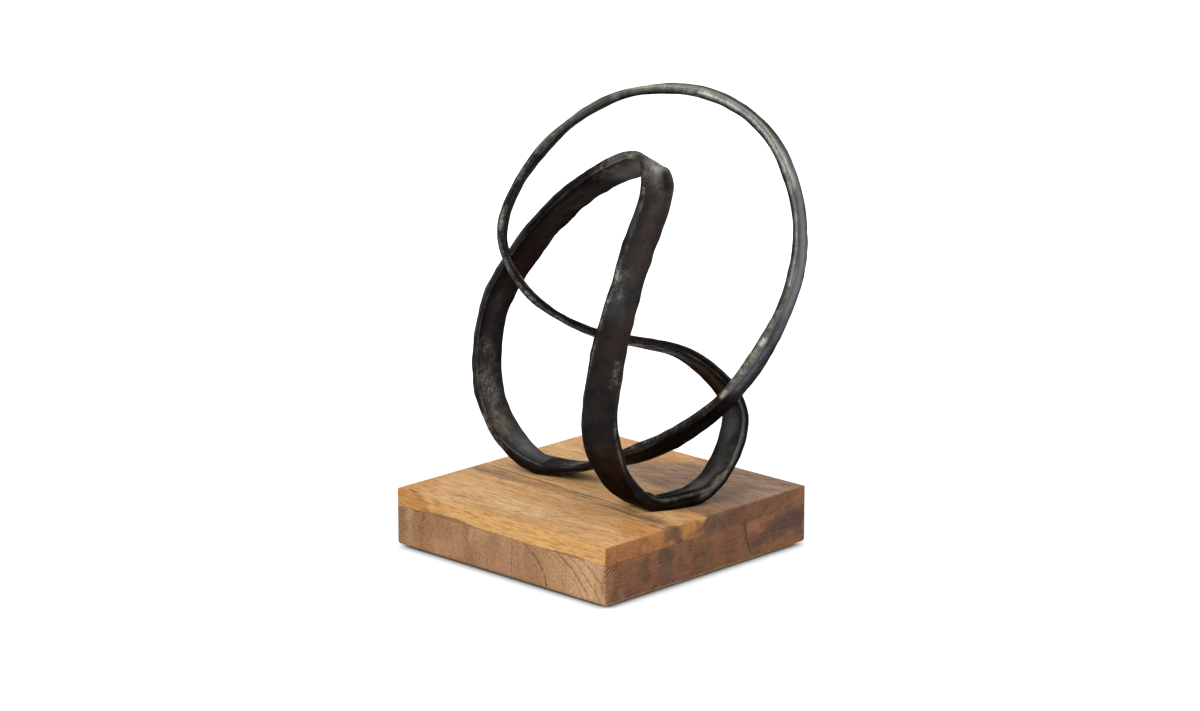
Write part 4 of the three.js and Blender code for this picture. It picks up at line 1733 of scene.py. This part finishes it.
@dataclass
class FeltSheet:
    """Felt glued under the base, a cut square with a slightly ragged edge."""

    side: float = 188.0 * MM
    thickness: float = FELT_TOP
    steps: int = 94
    fuzz: float = 0.08 * MM
    fuzz_ripple: Ripple = Ripple(29, 0.003, 0.009)
    ragged: float = 0.25 * MM
    edge_ripple: Ripple = Ripple(23, 0.003, 0.02)

    def build(self, finish: FeltFinish, groups: Groups) -> bpy.types.Object:
        """Make the sheet as two grids joined at their rims, its lower face lightly fuzzed.

        The outline moves in by seeded ripples, and the two faces share their rim points' places.

        Args:
            finish: The felt's finish.
            groups: The shared node groups.

        Returns:
            The sheet.
        """
        line = np.linspace(-self.side / 2, self.side / 2, self.steps + 1)
        x, y = (part.ravel() for part in np.meshgrid(line, line, indexing="ij"))
        flat = np.stack([x, y, 0 * x], axis=1)
        rim = np.maximum(np.abs(x), np.abs(y)) / (self.side / 2)
        inward = self.ragged * rim**8 * (1 + np.clip(self.edge_ripple.at(flat), -1, 1)) / 2
        flat[:, :2] *= (1 - inward / (self.side / 2))[:, None]
        rough = np.abs(self.fuzz_ripple.at(flat))
        low = flat + np.array([0, 0, 1]) * (self.fuzz * np.minimum(rough, 1))[:, None]
        high = flat + np.array([0, 0, self.thickness])
        count = self.steps + 1
        i, j = np.meshgrid(np.arange(self.steps), np.arange(self.steps), indexing="ij")
        a = i * count + j
        top = np.stack([a, a + count, a + count + 1, a + 1], axis=-1).reshape(-1, 4)
        size = count * count
        edge = np.arange(count)
        rim_loop = np.concatenate([
            edge[:-1] * count,
            (count - 1) * count + edge[:-1],
            edge[:0:-1] * count + count - 1,
            edge[:0:-1],
        ])
        after = np.roll(rim_loop, -1)
        walls = np.stack([rim_loop, after, after + size, rim_loop + size], axis=-1)
        faces = top[:, ::-1].tolist() + (top + size).tolist() + walls.tolist()
        sheet = new_piece("felt_sheet_cut", np.concatenate([low, high]), faces)
        dress(sheet, finish.material(groups))
        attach(sheet, "root")
        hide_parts("felt_sheet")
        report(sheet)
        return sheet


# Studio


@dataclass(frozen=True)
class Lamp:
    """A square soft light: its place right of, toward and above the base, in metres, and power."""

    name: str
    at: Place
    size: float
    power: float


@dataclass
class Studio:
    """Floor, soft lights, white surroundings and the camera at the photograph's angle."""

    azimuth: float = 43.9
    elevation: float = 17.23
    distance: float = 2.773
    aim_height: float = 21.8 * MM
    lift: float = 159.1
    drift: float = 1.5
    focal: float = 4000.0
    image_width: float = 1200.0
    sensor: float = 36.0
    clip_end: float = 60.0
    floor_half: float = 12.0
    floor_drop: float = 0.2 * MM
    floor_colour: Colour = (0.76, 0.82, 0.87)
    ambient: float = 0.55
    lamp_aim: Place = (0.0, 0.0, 0.15)
    lamps: tuple[Lamp, ...] = (
        Lamp("key_light", (-1.3, 1.2, 1.9), 1.5, 26.0),
        Lamp("right_light", (1.6, -0.5, 1.0), 1.0, 9.0),
    )

    def place(self, right: float, toward: float, up: float) -> Place:
        """Point given as steps right of, toward and above the base, as the camera sees it."""
        turn = math.radians(self.azimuth)
        return (
            right * math.cos(turn) + toward * math.sin(turn),
            right * math.sin(turn) - toward * math.cos(turn),
            up,
        )

    def camera(self) -> None:
        """Stand the camera back along its line of sight and tip it up by the framing's angle."""
        data = bpy.data.cameras.new("photo_camera")
        data.sensor_width = self.sensor
        data.lens = self.focal / self.image_width * self.sensor
        data.clip_end = self.clip_end
        made = bpy.data.objects.new("photo_camera", data)
        bpy.context.scene.collection.objects.link(made)
        rise = math.radians(self.elevation)
        x, y, _ = self.place(0.0, self.distance * math.cos(rise), 0.0)
        made.location = (x, y, self.aim_height + self.distance * math.sin(rise))
        tip = rise - math.atan(self.lift / self.focal)
        yaw = math.radians(self.azimuth) + math.atan(self.drift / self.focal)
        made.rotation_euler = (math.pi / 2 - tip, 0.0, yaw)
        bpy.context.scene.camera = made

    def hang(self, lamp: Lamp) -> None:
        """Hang a lamp so that it faces the sculpture's middle.

        Args:
            lamp: The lamp.
        """
        data = bpy.data.lights.new(lamp.name, "AREA")
        data.shape = "SQUARE"
        data.size = lamp.size
        data.energy = lamp.power
        made = bpy.data.objects.new(lamp.name, data)
        bpy.context.scene.collection.objects.link(made)
        made.location = self.place(*lamp.at)
        made.rotation_mode = "QUATERNION"
        aim = Vector(self.lamp_aim) - made.location
        made.rotation_quaternion = aim.to_track_quat("-Z", "Y")

    def floor(self) -> None:
        """Lay a pale floor that whitens for the camera and keeps the shadow."""
        half = self.floor_half
        corners = np.array([[-half, -half, 0], [half, -half, 0], [half, half, 0], [-half, half, 0]])
        corners = corners - np.array([0, 0, self.floor_drop])
        floor = new_piece("studio_floor", corners, [[0, 1, 2, 3]])
        made = bpy.data.materials.new("pale_floor")
        made.use_nodes = True
        made.node_tree.nodes.clear()
        tree = Tree(made.node_tree)
        diffuse = tree.node("BsdfDiffuse", {"Color": self.floor_colour})
        strength = tree.times(self.seen(tree), self.glow(tree))
        glow = tree.node("Emission", {"Color": WHITE, "Strength": strength})
        both = tree.node("AddShader", {0: diffuse.outputs[0], 1: glow.outputs[0]})
        tree.node("OutputMaterial", {"Surface": both.outputs[0]})
        floor.data.materials.append(made)

    @staticmethod
    def glow(tree: Tree) -> Socket:
        """How far the floor whitens: dark under the base, weak close to it, full further out.

        Args:
            tree: The floor's helper.

        Returns:
            A number from 0 to 1.
        """
        place = tree.place()
        x, y, _ = tree.axes(place)
        wide, deep = tree.size(x), tree.size(y)
        beside = tree.remap(tree.larger(wide, deep), 96 * MM, 107 * MM)
        past_corner = tree.remap(tree.plus(wide, deep), 186 * MM, 204 * MM)
        away = tree.remap(tree.measure("LENGTH", place), 160 * MM, 600 * MM, 0.52, 1.0)
        return tree.times(away, tree.larger(beside, past_corner))

    @staticmethod
    def seen(tree: Tree) -> Socket:
        """1 for camera, glossy and transmission rays, and else 0.

        Args:
            tree: The helper of the floor's or the world's nodes.

        Returns:
            The number.
        """
        path = tree.node("LightPath").outputs
        sharp = tree.larger(path["Is Glossy Ray"], path["Is Transmission Ray"])
        return tree.larger(path["Is Camera Ray"], sharp)

    def world(self) -> None:
        """White surroundings, dimmer as a light than as what is seen."""
        made = bpy.data.worlds.new("studio_white")
        made.use_nodes = True
        made.node_tree.nodes.clear()
        tree = Tree(made.node_tree)
        strength = tree.remap(self.seen(tree), 0.0, 1.0, self.ambient, 1.0)
        back = tree.node("Background", {"Color": WHITE, "Strength": strength})
        tree.node("OutputWorld", {"Surface": back.outputs[0]})
        bpy.context.scene.world = made

    def build(self) -> None:
        """Set the scene round the sculpture."""
        self.floor()
        self.world()
        for lamp in self.lamps:
            self.hang(lamp)
        self.camera()
        bpy.context.scene.view_settings.view_transform = "Standard"


# Put together


def main() -> None:
    """Build the sculpture's pieces and the studio."""
    groups = Groups()
    ForgedKnot().build(ForgedPatina(), groups)
    upper = Board("base_upper_board_wood", "base_upper_board", Slot.PALE_WOOD, GLUE_LINE, BASE_TOP,
                  eased_bottom=False, eased_top=True)
    upper.build(GoldenBoard(), groups)
    lower = Board("base_lower_board_wood", "base_lower_board", Slot.BROWN_WOOD, FELT_TOP, GLUE_LINE,
                  eased_bottom=True, eased_top=False)
    lower.build(BrownBoard(), groups)
    FeltSheet().build(FeltFinish(), groups)
    zinc = ZincFinish().material(groups)
    for name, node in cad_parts.items():
        if name.startswith(("screw_", "washer_")):
            dress(node, zinc)
            report(node)
    Studio().build()


if __name__ == "__main__":
    main()
